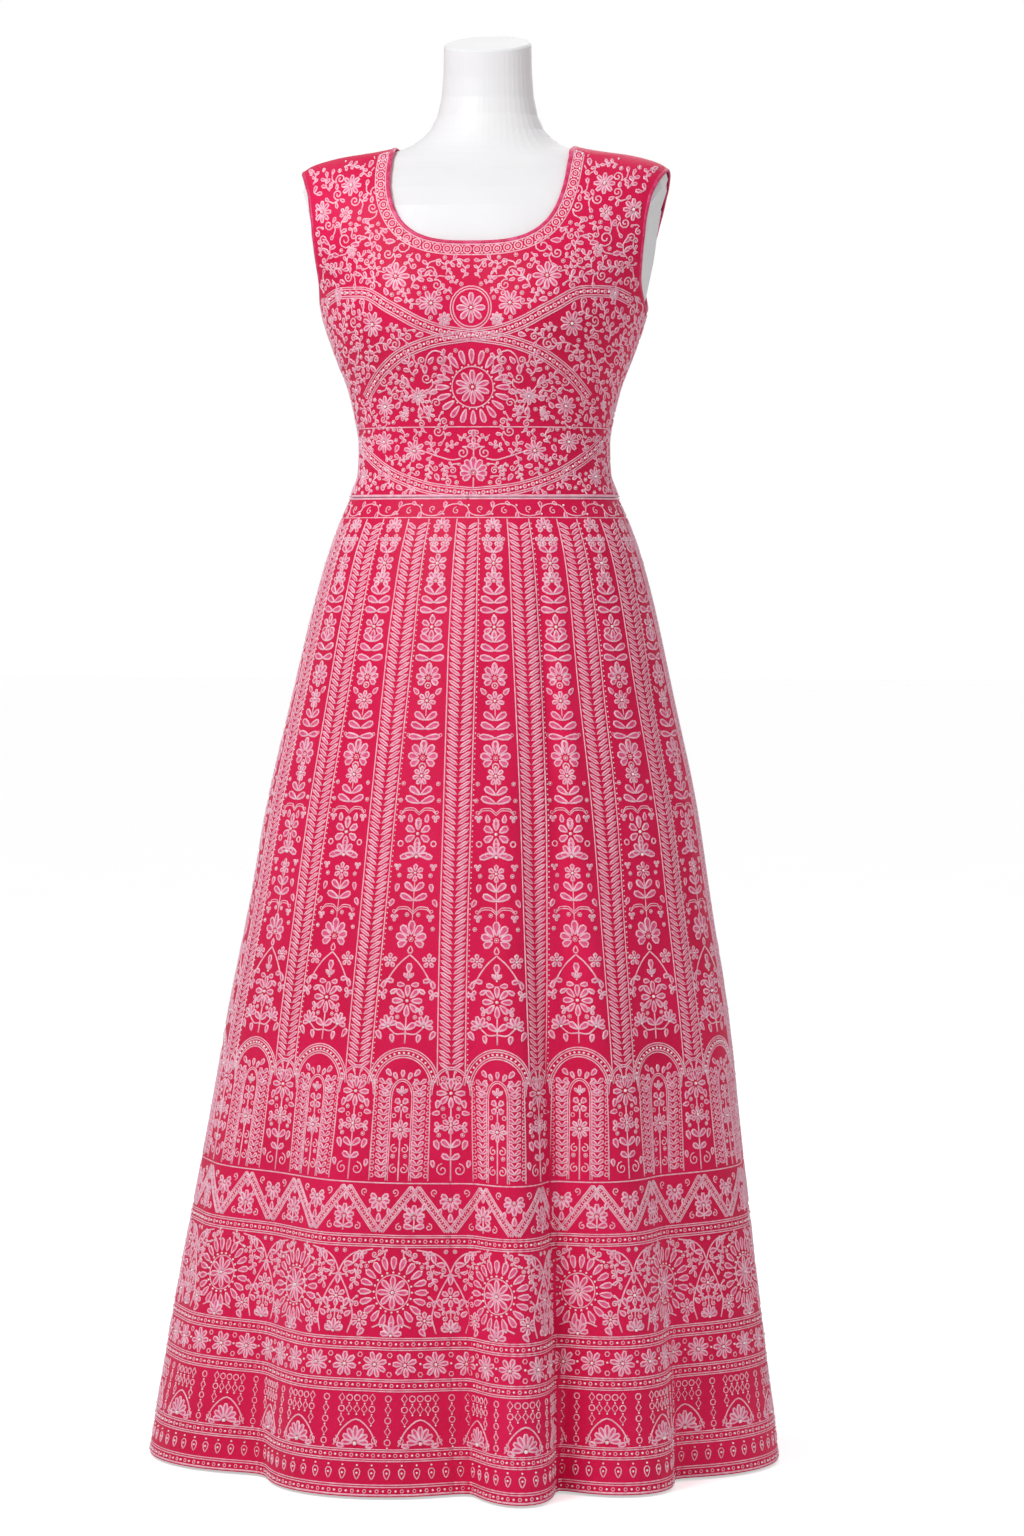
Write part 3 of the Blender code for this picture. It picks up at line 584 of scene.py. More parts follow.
def net_material():
    """Hot pink net over a satin backing: a fine six-sided mesh, soft sheen and uneven dye."""
    dyes = ((0.3, "CD083E"), (0.52, "D90D47"), (0.75, "E21551"))
    made, tree, shader = dyed_material("pink_net_over_satin", 9.0, 3.0, *dyes)
    dye = shader.inputs["Base Color"].links[0].from_socket
    place = tree.nodes.new("ShaderNodeTexCoord")
    mesh = tree.nodes.new("ShaderNodeTexVoronoi")
    mesh.feature = "DISTANCE_TO_EDGE"
    mesh.inputs["Scale"].default_value = 620.0
    tree.links.new(place.outputs["Object"], mesh.inputs["Vector"])
    thread = tree.nodes.new("ShaderNodeMapRange")
    set_inputs(thread, From_Min=0.0, From_Max=0.22, To_Min=1.0, To_Max=0.0)
    tree.links.new(mesh.outputs["Distance"], thread.inputs["Value"])
    mix = tree.nodes.new("ShaderNodeMix")
    mix.data_type = "RGBA"
    mix.inputs["B"].default_value = srgb("EA2E6C")
    tree.links.new(dye, mix.inputs["A"])
    strength = tree.nodes.new("ShaderNodeMath")
    strength.operation = "MULTIPLY"
    strength.inputs[1].default_value = 0.35
    tree.links.new(thread.outputs["Result"], strength.inputs[0])
    tree.links.new(strength.outputs["Value"], mix.inputs["Factor"])
    tree.links.new(mix.outputs["Result"], shader.inputs["Base Color"])
    bump(tree, shader, thread.outputs["Result"], 0.25, 0.0003)
    bump(tree, shader, noise(tree, 60.0, 3.0, (1, 1, 0.3)), 0.12, 0.002)
    set_inputs(shader, Roughness=0.46, Specular_IOR_Level=0.14)
    set_inputs(shader, Sheen_Weight=0.06, Sheen_Roughness=0.35, Sheen_Tint=srgb("FF8FB4"))
    return made


def thread_material(name, dark, middle, light, roughness, sheen):
    """Twisted embroidery thread, with a fine twist in its surface and uneven dye."""
    made, tree, shader = dyed_material(name, 160.0, 2.0, (0.3, dark), (0.5, middle), (0.72, light))
    bump(tree, shader, noise(tree, 1500.0, 2.0, (1, 1, 1.6)), 0.5, 0.0004)
    set_inputs(shader, Roughness=roughness)
    set_inputs(shader, Sheen_Weight=sheen, Sheen_Roughness=0.4, Sheen_Tint=srgb("FFE3EE"))
    return made


def bead_material():
    """Small silver-lined beads and sequins."""
    made, tree, shader = dyed_material("silver_beads", 300.0, 1.0, (0.35, "F6D3DE"), (0.65, "FFFAFB"))
    bump(tree, shader, noise(tree, 900.0, 1.0), 0.15, 0.0003)
    set_inputs(shader, Roughness=0.25, Specular_IOR_Level=0.8, Coat_Weight=0.4, Coat_Roughness=0.1)
    return made


def form_material():
    """Smooth satin white of the dress form, with a very slight mottle."""
    made, tree, shader = dyed_material("form_satin_white", 7.0, 3.0, (0.35, "EDECEE"), (0.7, "F6F5F6"))
    bump(tree, shader, noise(tree, 420.0, 2.0), 0.05, 0.0004)
    set_inputs(shader, Roughness=0.42, Specular_IOR_Level=0.4)
    return made


def steel_material():
    """Powder-coated steel of the hidden stand."""
    made, tree, shader = dyed_material("stand_powder_coat", 30.0, 3.0, (0.35, "9A9BA0"), (0.7, "ADAEB3"))
    bump(tree, shader, noise(tree, 1800.0, 2.0), 0.3, 0.0003)
    set_inputs(shader, Roughness=0.45, Metallic=0.8)
    return made


def floor_material():
    """Pale matt floor of the studio, brightened where the camera sees it to meet the white backdrop."""
    made, tree, shader = dyed_material("studio_floor", 3.0, 2.0, (0.3, "FBFBFB"), (0.7, "FDFDFD"))
    tree.links.new(backdrop_strength(tree, 0.0), shader.inputs["Emission Strength"])
    set_inputs(shader, Roughness=0.7, Emission_Color=(1, 1, 1, 1))
    return made


NET = net_material()
CORD = thread_material("pale_cord", "F8ABC4", "FCC0D3", "FFDBE6", 0.5, 0.05)
FILL = thread_material("pink_thread_fill", "E03A70", "E85486", "EF6F9B", 0.5, 0.05)
BEADS = bead_material()
EDGE = thread_material("satin_binding", "D0134F", "DC2864", "E8588F", 0.4, 0.1)


def add_mesh(name, points, faces, materials, face_slots=None, smooth_angle=None):
    """A mesh object that rides on the body. Faces are rows of triangles or quads."""
    mesh = bpy.data.meshes.new(name)
    faces = [np.asarray(group, np.int32) for group in faces if len(group)]
    loops = np.concatenate([group.ravel() for group in faces])
    sizes = np.concatenate([np.full(len(group), group.shape[1], np.int32) for group in faces])
    mesh.vertices.add(len(points))
    mesh.vertices.foreach_set("co", np.asarray(points, np.float32).ravel())
    mesh.loops.add(len(loops))
    mesh.loops.foreach_set("vertex_index", loops)
    mesh.polygons.add(len(sizes))
    mesh.polygons.foreach_set("loop_start", np.append(0, np.cumsum(sizes)[:-1]).astype(np.int32))
    mesh.update(calc_edges=True)
    for made in materials:
        mesh.materials.append(made)
    if face_slots is not None:
        mesh.polygons.foreach_set("material_index", np.asarray(face_slots, np.int32))
    mesh.shade_smooth()
    if smooth_angle:
        mesh.set_sharp_from_angle(angle=math.radians(smooth_angle))
    mesh.validate()
    made = bpy.data.objects.new(name, mesh)
    bpy.context.scene.collection.objects.link(made)
    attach(made, "root")
    return made


def grid_quads(rows, columns):
    """Quads of a grid of points."""
    r, c = np.meshgrid(np.arange(rows - 1), np.arange(columns - 1), indexing="ij")
    a = (r * columns + c).ravel()
    return np.stack([a, a + 1, a + columns + 1, a + columns], axis=1)


def walled(outer, inner, surface_faces, rim):
    """Points and faces of a thin wall between two faces, closed by a rim round the outline."""
    count = len(outer)
    surface_faces = np.asarray(surface_faces)
    rim = np.asarray(rim)
    after = np.roll(rim, -1)
    edge = np.stack([after, rim, rim + count, after + count], axis=1)
    return np.concatenate([outer, inner]), [surface_faces, surface_faces[:, ::-1] + count, edge]


def outline_of(rows, columns):
    """Indices round a grid's outline."""
    bottom = list(range(columns))
    right = [r * columns + columns - 1 for r in range(1, rows - 1)]
    top = list(range((rows - 1) * columns + columns - 1, (rows - 1) * columns - 1, -1))
    left = [r * columns for r in range(rows - 2, 0, -1)]
    return bottom + right + top + left


def kali(index):
    """One panel of the skirt as a thin shell on its solid's form."""
    shares = np.linspace(index, index + 1, SHELL_COLUMNS + 1) / KALI_COUNT
    heights = np.linspace(HEM_Z, WAIST_SEAM_Z, SHELL_ROWS + 1)
    share, z = np.meshgrid(shares, heights)
    inwards = (share == shares[0]).astype(int) - (share == shares[-1])
    share = np.clip(share + inwards * SHELL_GAP / skirt_length(z), 0, 1)
    outer = SKIRT_CLOTH.at(share, z, np.zeros(share.shape)).reshape(-1, 3)
    inner = SKIRT_CLOTH.at(share, z, np.full(share.shape, -CLOTH)).reshape(-1, 3)
    quads = grid_quads(*share.shape)
    points, faces = walled(outer, inner, quads, outline_of(*share.shape))
    name = f"kali_{index + 1:02d}"
    panel = add_mesh(f"{name}_cloth", points, faces, [NET], smooth_angle=50)
    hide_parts(name)


def neck_half_width(z, drop):
    """Half the scoop's width at a height."""
    fall = np.clip((NECK_TOP_Z - z) / drop, 0, 1)
    return NECK_HALF_WIDTH * (1 - fall**NECK_SQUARENESS) ** (1 / NECK_SQUARENESS)


def neckline(azimuth, drop):
    """Where the form's profile at each azimuth passes into the scoop, by halving."""
    low = np.full(len(azimuth), profile_at(WAIST_SEAM_Z + 0.2))
    high = np.full(len(azimuth), PROFILE[-1])
    for _ in range(HALVINGS):
        middle = (low + high) / 2
        point = figure(azimuth, middle)
        inside = np.abs(point[:, 0]) < neck_half_width(point[:, 2], drop)
        inside &= point[:, 2] > NECK_TOP_Z - drop
        low, high = np.where(inside, low, middle), np.where(inside, middle, high)
    return high


def armhole(turn):
    """Azimuth and profile distance of the right armhole's edge, from its front over its top."""
    middle_z = (ARMHOLE_TOP_Z + ARMHOLE_BOTTOM_Z) / 2
    half_height = (ARMHOLE_TOP_Z - ARMHOLE_BOTTOM_Z) / 2
    z = middle_z + half_height * np.sin(turn)
    along = profile_at(z)
    y = neck_back(z) - np.where(np.cos(turn) > 0, ARMHOLE_FRONT, ARMHOLE_BACK) * np.cos(turn)
    low, high = np.full(len(turn), math.radians(30)), np.full(len(turn), math.radians(150))
    for _ in range(HALVINGS):
        middle = (low + high) / 2
        ahead = figure(middle, along)[:, 1] < y
        low, high = np.where(ahead, middle, low), np.where(ahead, high, middle)
    return (low + high) / 2, along


def bodice_outline(is_front):
    """The outline of a bodice half as azimuth and profile distance, counted from its own centre line."""
    drop = NECK_DROP_FRONT if is_front else NECK_DROP_BACK
    edge = math.pi / 2 - SIDE_SEAM_TURN
    waist = float(profile_at(WAIST_SEAM_Z + WAIST_GAP))
    tip = float(profile_at(ARMHOLE_TOP_Z))
    underarm = float(profile_at(ARMHOLE_BOTTOM_Z))
    turn = np.linspace(-math.pi / 2, math.pi / 2, 61)
    hole_azimuth, hole_along = armhole(turn if is_front else math.pi - turn)
    if not is_front:
        hole_azimuth = math.pi - hole_azimuth
    hole_azimuth = np.minimum(hole_azimuth, edge)
    neck_azimuth = np.linspace(edge, 0, 57)
    neck_along = neckline(neck_azimuth if is_front else math.pi - neck_azimuth, drop)
    bottom = [(a, waist) for a in np.linspace(0, edge, 40)]
    side = [(edge, a) for a in np.linspace(waist, underarm, 40)[1:-1]]
    hole = list(zip(hole_azimuth, hole_along))
    shoulder = [(edge, a) for a in np.linspace(tip, neck_along[0], 24)[1:-1]]
    right = bottom + side + hole + shoulder + list(zip(neck_azimuth, neck_along))
    left = [(-a, s) for a, s in reversed(right[1:-1])]
    return np.array(right + left)


def inside_of(points, outline, margin):
    """Which flat points lie inside an outline and further than the margin from it."""
    ends = np.roll(outline, -1, axis=0)
    x, y = points[:, :1], points[:, 1:]
    crosses = (outline[:, 1] > y) != (ends[:, 1] > y)
    rise = np.where(ends[:, 1] == outline[:, 1], 1, ends[:, 1] - outline[:, 1])
    at = outline[:, 0] + (y - outline[:, 1]) / rise * (ends[:, 0] - outline[:, 0])
    inside = (crosses & (x < at)).sum(axis=1) % 2 == 1
    edge = ends - outline
    to_point = points[:, None] - outline[None]
    t = np.clip((to_point * edge).sum(axis=2) / np.maximum((edge**2).sum(axis=1), 1e-12), 0, 1)
    away = np.linalg.norm(to_point - edge * t[..., None], axis=2).min(axis=1)
    return inside & (away > margin)


def bodice_panel(node, is_front):
    """One bodice half as a thin shell on its solid's form."""
    outline = bodice_outline(is_front) * (TURN_LENGTH, 1)
    step_x = GRID_TURN * TURN_LENGTH
    low, high = outline.min(axis=0), outline.max(axis=0)
    column, row = np.meshgrid(np.arange(low[0], high[0], step_x), np.arange(low[1], high[1], GRID_STEP))
    grid = np.stack([column.ravel(), row.ravel()], axis=1)
    grid = grid[inside_of(grid, outline, GRID_MARGIN)]
    flat = [tuple(map(float, p)) for p in outline] + [tuple(map(float, p)) for p in grid]
    made = delaunay_2d_cdt([Vector(p) for p in flat], [], [list(range(len(outline)))], 1, 1e-6)
    points_2d = np.array([tuple(p) for p in made[0]])
    rim = [int(np.argmin(np.hypot(*(points_2d - p).T))) for p in outline]
    azimuth, along = points_2d[:, 0] / TURN_LENGTH, points_2d[:, 1]
    triangles = np.array(made[2])
    if not is_front:
        azimuth = math.pi - azimuth
        triangles = triangles[:, ::-1]
        rim = rim[::-1]
    points = figure(azimuth, along)
    normals = frame_of(figure, azimuth, along)[2]
    outer, inner = points + (EASE + CLOTH) * normals, points + EASE * normals
    points, faces = walled(outer, inner, triangles, rim)
    panel = add_mesh(f"{node}_cloth", points, faces, [NET], smooth_angle=60)
    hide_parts(node)


def binding(node, azimuth, along, opening):
    """A bound edge: a rounded satin roll beside a closed edge curve, on the opening's side."""
    turning, rising, normal = frame_of(figure, azimuth, along)
    edge = figure(azimuth, along)
    tangent = np.roll(edge, -1, axis=0) - np.roll(edge, 1, axis=0)
    tangent /= np.linalg.norm(tangent, axis=1, keepdims=True)
    across = np.cross(normal, tangent)
    way = np.sign((across * (opening - edge)).sum(axis=1).mean())
    across *= way
    rings = []
    for turn in np.linspace(0, 2 * math.pi, ROLL_SIDES, endpoint=False):
        distance = ROLL_BESIDE + ROLL_HALF_WIDTH * math.cos(turn)
        height = EASE + ROLL_ABOVE + ROLL_HALF_HEIGHT * math.sin(turn)
        turn_share = (across * turning).sum(axis=1) / (turning**2).sum(axis=1)
        rise_share = (across * rising).sum(axis=1) / (rising**2).sum(axis=1)
        shifted = figure(azimuth + distance * turn_share, along + distance * rise_share)
        rings.append(shifted + height * normal)
    rings = np.array(rings)
    count, columns = rings.shape[:2]
    r, c = np.meshgrid(np.arange(count), np.arange(columns), indexing="ij")
    after, below = (c + 1) % columns, (r + 1) % count
    corners = [r * columns + c, r * columns + after, below * columns + after, below * columns + c]
    quads = np.stack(corners, axis=-1).reshape(-1, 4)
    if way < 0:
        quads = quads[:, ::-1]
    made = add_mesh(f"{node}_satin", rings.reshape(-1, 3), [quads], [EDGE])
    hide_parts(node)


def bindings():
    """The bound neck edge and the two bound armhole edges."""
    front_turn = np.linspace(-math.pi / 2, math.pi / 2, 121)[:-1]
    back_turn = front_turn + math.pi
    azimuth = np.concatenate([front_turn, back_turn])
    along = np.concatenate([neckline(front_turn, NECK_DROP_FRONT), neckline(back_turn, NECK_DROP_BACK)])
    binding("neck_binding", azimuth, along, np.array((0, 0, NECK_TOP_Z)))
    azimuth, along = armhole(np.linspace(0, 2 * math.pi, 161)[:-1])
    beside = np.array((ARM_PLATE_X, 0, (ARMHOLE_TOP_Z + ARMHOLE_BOTTOM_Z) / 2))
    binding("armhole_binding_right", azimuth, along, beside)
    binding("armhole_binding_left", -azimuth, along, beside * (-1, 1, 1))


def cos_sin(degrees):
    return math.cos(math.radians(degrees)), math.sin(math.radians(degrees))


class Pattern:
    """Strokes drawn flat: filled pads, open rings, cords and beads, each with its place on the cloth."""

    def __init__(self):
        self.strokes = []

    def stroke(self, kind, points, width, place):
        self.strokes.append((kind, np.asarray(points, float), width, place))
        return self

    def pad(self, points, width=CORD_WIDTH, place=0.0):
        return self.stroke("pad", points, width, place)

    def ring(self, points, width=CORD_WIDTH, place=0.0):
        return self.stroke("ring", points, width, place)

    def cord(self, points, width=CORD_WIDTH, place=0.0):
        return self.stroke("cord", points, width, place)

    def bead(self, x, y, radius=0.0009, place=0.0):
        return self.stroke("bead", [(x, y)], radius, place)

    def petal(self, length, width, at=(0.0, 0.0), turn=0.0, cord=CORD_WIDTH, points=None):
        """A filled petal or leaf from its narrow foot upwards, turned anticlockwise in degrees."""
        return self.pad(teardrop(length, width, at, turn, points), cord)

    def ray(self, foot, length, width, turn, cord=CORD_WIDTH, points=None):
        """A petal that points away from the pattern's middle, its foot at a distance from it."""
        cosine, sine = cos_sin(turn)
        return self.petal(length, width, (-foot * sine, foot * cosine), turn, cord, points)

    def ring_bead(self, radius):
        """A small ring round a bead."""
        return self.ring(circle(0, 0, radius, 6), 0.0011).bead(0, 0, 0.001)

    def add(self, other, x=0.0, y=0.0, turn=0.0, scale=1.0, flip=1, place=0.0):
        """Take in another pattern's strokes, mirrored, scaled, turned anticlockwise and moved."""
        cosine, sine = cos_sin(turn)
        matrix = np.array(((cosine * flip, sine * flip), (-sine, cosine))) * scale
        for kind, points, width, own_place in other.strokes:
            self.strokes.append((kind, points @ matrix + (x, y), width, own_place + place))
        return self


def turned(points, at, turn):
    """Flat points turned anticlockwise in degrees and moved."""
    cosine, sine = cos_sin(turn)
    return points @ np.array(((cosine, sine), (-sine, cosine))) + at


def teardrop(length, width, at=(0.0, 0.0), turn=0.0, points=None):
    """A leaf or petal outline from its narrow foot upwards. A longer one has more points."""
    if points is None:
        points = 6 if length < 0.0065 else 7 if length < 0.0105 else 9
    t = np.linspace(0, 2 * math.pi, points, endpoint=False)
    grown = (1 - np.cos(t)) / 2
    x = width * 0.62 * np.sin(t) * (0.35 + 0.65 * grown)
    return turned(np.stack([x, length * grown], axis=1), at, turn)


def capsule(length, width, at=(0.0, 0.0), turn=0.0):
    """A slim leaf of even width with pointed ends, from its foot upwards."""
    half = width / 2
    low, high = 0.25 * length, 0.75 * length
    flat = np.array([(0, 0), (half, low), (half, high), (0, length), (-half, high), (-half, low)])
    return turned(flat, at, turn)


def circle(x, y, radius, points=7):
    """Points of a circle."""
    t = np.linspace(0, 2 * math.pi, points, endpoint=False)
    return np.stack([x + radius * np.cos(t), y + radius * np.sin(t)], axis=1)


def arc(x, y, radius_x, radius_y, start, end, points):
    """Points of an elliptic arc between two angles in degrees."""
    t = np.radians(np.linspace(start, end, points))
    return np.stack([x + radius_x * np.cos(t), y + radius_y * np.sin(t)], axis=1)


def spiral(x, y, radius, start, turns, flip=1, points=14):
    """A curl that winds inwards to its middle."""
    t = np.linspace(0, 1, points)
    angle = math.radians(start) + flip * t * turns * 2 * math.pi
    r = radius * (1 - 0.85 * t)
    return np.stack([x + r * np.cos(angle), y + r * np.sin(angle)], axis=1)


def curve_through(points, count):
    """A smooth curve through a few points."""
    points = np.asarray(points, float)
    at = np.append(0, np.cumsum(np.hypot(*np.diff(points, axis=0).T)))
    where = np.linspace(0, at[-1], count)
    return np.stack([smooth_through(at, points[:, i], where) for i in (0, 1)], axis=1)


def flower(radius, petals=6, inner=0.28, first=0.0, plump=0.76):
    """A flower of looped petals round a bead."""
    made = Pattern()
    foot = radius * inner
    width = min(2 * math.pi * radius * 0.62 / petals * plump, radius * 0.7)
    for i in range(petals):
        turn = first + 360 * i / petals
        made.ray(foot, radius - foot, width, turn)
    return made.bead(0, 0, min(0.0018, radius * 0.17))


def fan(radius, petals=5, spread=150.0, plump=0.9):
    """A half-open flower: petals spread upwards from its foot."""
    made = Pattern()
    for i in range(petals):
        turn = (i / (petals - 1) - 0.5) * spread
        size = radius * (1 - 0.18 * abs(turn) / 90)
        foot = radius * 0.16
        made.ray(foot, size - foot, radius * 0.36 * plump, turn)
    return made.bead(0, -radius * 0.05, max(0.0011, radius * 0.13))


def leaf_row(length, width, turn, curled=False):
    """A pair of leaves with a bead between them; a curled pair ends in small rings."""
    made = leaf_pair(length, width, turn)
    made.bead(0, 0, 0.0009)
    if curled:
        up, out = cos_sin(turn)
        for side in (-1, 1):
            made.ring(circle(side * (length * out + 0.0012), length * up + 0.0012, 0.0016, 6), 0.001)
    return made


def leaf_pair(length, width, turn):
    """Two leaves that rise to both sides of a stem."""
    made = Pattern()
    for side in (-1, 1):
        made.petal(length, width, (0.0006 * side, 0), -side * turn)
    return made


def trefoil(radius):
    """Three broad leaves on one point."""
    made = Pattern()
    for turn in (0, 115, -115):
        made.petal(radius, radius * 0.75, (0, 0), turn, points=7)
    return made


def bodice_centre(made, place):
    """The ornament on the centre line below the medallion: drops, volutes, a lotus and two long stems."""
    centre = Pattern()
    centre.petal(0.0085, 0.005, (0, 1.0655), 0)
    centre.add(trefoil(0.0062), 0, 1.059)
    centre.cord([(0, 1.058), (0, 1.05), (0, 1.042)])
    centre.cord([(0, 1.024), (0, 1.018), (0, 1.013)])
    centre.add(loops(0.0165, 9, 250, 0.2), 0, 1.029)
    for side in (-1, 1):
        centre.cord(spiral(side * 0.0115, 1.05, 0.0062, 90, 1.4, side, 16))
        centre.cord(curve_through([(0, 1.053), (side * 0.006, 1.0562), (side * 0.0115, 1.0562)], 5))
        stem = np.array([(0.013, 1.044), (0.022, 1.0425), (0.034, 1.0455), (0.05, 1.051)])
        centre.cord(curve_through(stem * (side, 1), 12))
        centre.cord(spiral(side * 0.032, 1.147, 0.0048, 90, 1.3, side, 12))
        arm = np.array([(0.028, 1.152), (0.038, 1.155), (0.046, 1.149), (0.0485, 1.14)])
        centre.cord(curve_through(arm * (side, 1), 10))
        centre.petal(0.0085, 0.0055, (side * 0.0485, 1.132), 0)
        for turn, length in ((-38, 0.024), (-100, 0.015), (150, 0.02), (172, 0.019), (75, 0.02)):
            foot = (side * 0.057, 1.109)
            c, s = math.cos(math.radians(turn)), -side * math.sin(math.radians(turn))
            end = (foot[0] + length * s, foot[1] + length * c)
            centre.cord([foot, ((foot[0] + end[0]) / 2, (foot[1] + end[1]) / 2), end], FINE_CORD)
            centre.petal(length * 0.45, 0.0056, (foot[0] + length * 0.6 * s, foot[1] + length * 0.6 * c),
                                side * turn)
    return made.add(centre, place=place)


def waist_vine(made, place):
    """Leafy curls between the belt band and the waist seam, and the piped cord over the seam."""
    for x, z, turn, size in (
        (0.06, 1.0075, -80, 0.012),
        (0.085, 1.012, -70, 0.013),
        (0.1, 1.022, 40, 0.012),
        (0.14, 1.036, 10, 0.015),
        (0.168, 1.05, 0, 0.015),
        (0.185, 1.02, 20, 0.015),
    ):
        for side in (-1, 1):
            made.add(sprig(size, 4, -size * 0.4, "curl"), side * x, z, side * turn, flip=side, place=place)
    piping = np.stack([np.linspace(-0.23, 0.23, 90), np.full(90, WAIST_SEAM_Z + 0.0009)], axis=1)
    made.cord(piping, 0.0034, place)
def loops(radius, petals=7, spread=250.0, inner=0.25):
    """A wide flower: looped petals fanned round a beaded middle, the top one the longest."""
    made = Pattern()
    for i in range(petals):
        turn = (i / (petals - 1) - 0.5) * spread
        size = radius * (1 - 0.22 * abs(turn) / 125)
        foot = radius * inner
        made.ray(foot, size - foot, radius * 0.4, turn)
    return made.ring(circle(0, 0, radius * 0.13, 6), 0.001).bead(0, 0, 0.0011)


def moustache(reach, drop):
    """Two arms that sweep out from a stem and hang, each with a small curl and trefoil at its end."""
    made = Pattern()
    for side in (-1, 1):
        for lift in (0.0, 0.0022):
            arm = np.array([(0, -0.45 * drop + lift), (0.35 * reach, 0.1 * drop + lift),
                            (0.72 * reach, 0.06 * drop + lift), (0.98 * reach, -0.45 * drop + 0.4 * lift)])
            made.cord(curve_through(arm * (side, 1), 8), 0.0012)
        made.add(trefoil(0.0038), side * reach * 0.95, -drop * 0.8, 180)
        made.ring(circle(side * reach * 1.0, -drop * 0.15, 0.0015, 6), 0.001)
    return made


def sprig(length, leaves, bend, ending):
    """A bent stem with leaves on alternate sides, which ends in a curl, a flower or a leaf."""
    made = Pattern()
    stem = curve_through([(0, 0), (bend * 0.55, length * 0.35), (bend * 0.6, length * 0.7), (0, length)], 8)
    made.cord(stem, 0.0016)
    along = np.linspace(0, 1, 8)
    for i in range(leaves):
        at = (i + 0.6) / (leaves + 0.5)
        x, y = (float(np.interp(at, along, stem[:, j])) for j in (0, 1))
        side = 1 if i % 2 else -1
        made.petal(length * 0.4, length * 0.22, (x, y), -side * 60, cord=FINE_CORD)
    if ending == "curl":
        way = 1 if bend > 0 else -1
        size = length * 0.26
        made.cord(spiral(-way * size, length, size, 0 if way > 0 else 180, 1.3, way, 12), 0.0016)
    elif ending == "flower":
        made.add(flower(length * 0.4, 6), 0, length * 1.25)
    else:
        made.petal(length * 0.4, length * 0.22, (0, length * 0.98), 0, cord=FINE_CORD)
    return made


def hooked_curl(radius):
    """A curl with a trailing stem and three leaves along its outer side."""
    made = Pattern()
    made.cord(spiral(0, 0, radius, 200, 1.4, 1, 14), 0.0016)
    tail = np.array([(-0.94, -0.34), (-0.9, -1.3), (0, -2.1)]) * radius
    made.cord(curve_through(tail, 6), 0.0016)
    for turn, x, y in ((60, -1.0, -0.1), (110, -1.0, -1.0)):
        made.petal(radius * 1.1, radius * 0.62, (radius * x, radius * y), turn, cord=FINE_CORD)
    made.petal(radius * 1.0, radius * 0.62, (0, -radius * 2.1), -110, cord=FINE_CORD)
    return made


def filler_motifs(scale):
    """Small motifs for bare ground: the room that each needs, its strokes and its middle's height."""
    return (
        (0.0112 * scale, sprig(0.02 * scale, 4, 0.006 * scale, "leaf"), 0.01 * scale),
        (0.009 * scale, hooked_curl(0.0062 * scale), -0.005 * scale),
        (0.0074 * scale, sprig(0.0142 * scale, 3, -0.005 * scale, "curl"), 0.0075 * scale),
        (0.006 * scale, hooked_curl(0.0042 * scale), -0.0034 * scale),
        (0.0047, Pattern().petal(0.008, 0.005, cord=FINE_CORD), 0.004),
        (0.0038, Pattern().ring_bead(0.002), 0.0),
    )


def scatter_fillers(made, taken, box, chance, tries, motifs, place=0.0):
    """Drop motifs on the ground of a box wherever the taken points leave enough room, and mirror them about
    the line x = 0."""
    for room, shape, middle in motifs:
        tree = KDTree(len(taken))
        for i, (x, y) in enumerate(taken):
            tree.insert((x, y, 0), i)
        tree.balance()
        added = []
        new = Pattern()
        for _ in range(tries):
            x, y = chance.uniform(max(box[0], room), box[1]), chance.uniform(box[2], box[3])
            turn = chance.uniform(0, 360)
            if tree.find((x, y, 0))[2] < room:
                continue
            if any((x - a) ** 2 + (y - b) ** 2 < (1.8 * room) ** 2 for a, b in added):
                continue
            added.append((x, y))
            c, s = cos_sin(turn)
            for side in (-1, 1):
                at_x, at_y = x + middle * s, y - middle * c
                new.add(shape, side * at_x, at_y, side * turn, flip=side, place=place)
        if new.strokes:
            made.add(new)
            taken = np.concatenate([taken] + [s[1] for s in new.strokes if s[0] != "bead"])
    return made


def bead_mesh(flat, width, place, lay):
    """Points, triangles and quads of beads: a foot on the cloth, a shoulder and a top."""
    x, y = flat[..., 0], flat[..., 1]
    around = np.linspace(0, 2 * math.pi, BEAD_SIDES, endpoint=False)
    out_x, out_y = width * np.cos(around), width * np.sin(around)
    raised = width * BEAD_HEIGHT
    points = [
        lay(x + out_x, y + out_y, -SUNK + 0 * out_x, place),
        lay(x + BEAD_SHOULDER * out_x, y + BEAD_SHOULDER * out_y, raised + 0 * out_x, place),
        lay(x, y, BEAD_TOP * raised, place),
    ]
    i = np.arange(BEAD_SIDES)
    after = (i + 1) % BEAD_SIDES
    triangles = np.stack([i + BEAD_SIDES, after + BEAD_SIDES, 0 * i + 2 * BEAD_SIDES], 1)
    return points, triangles, np.stack([i, after, after + BEAD_SIDES, i + BEAD_SIDES], 1)


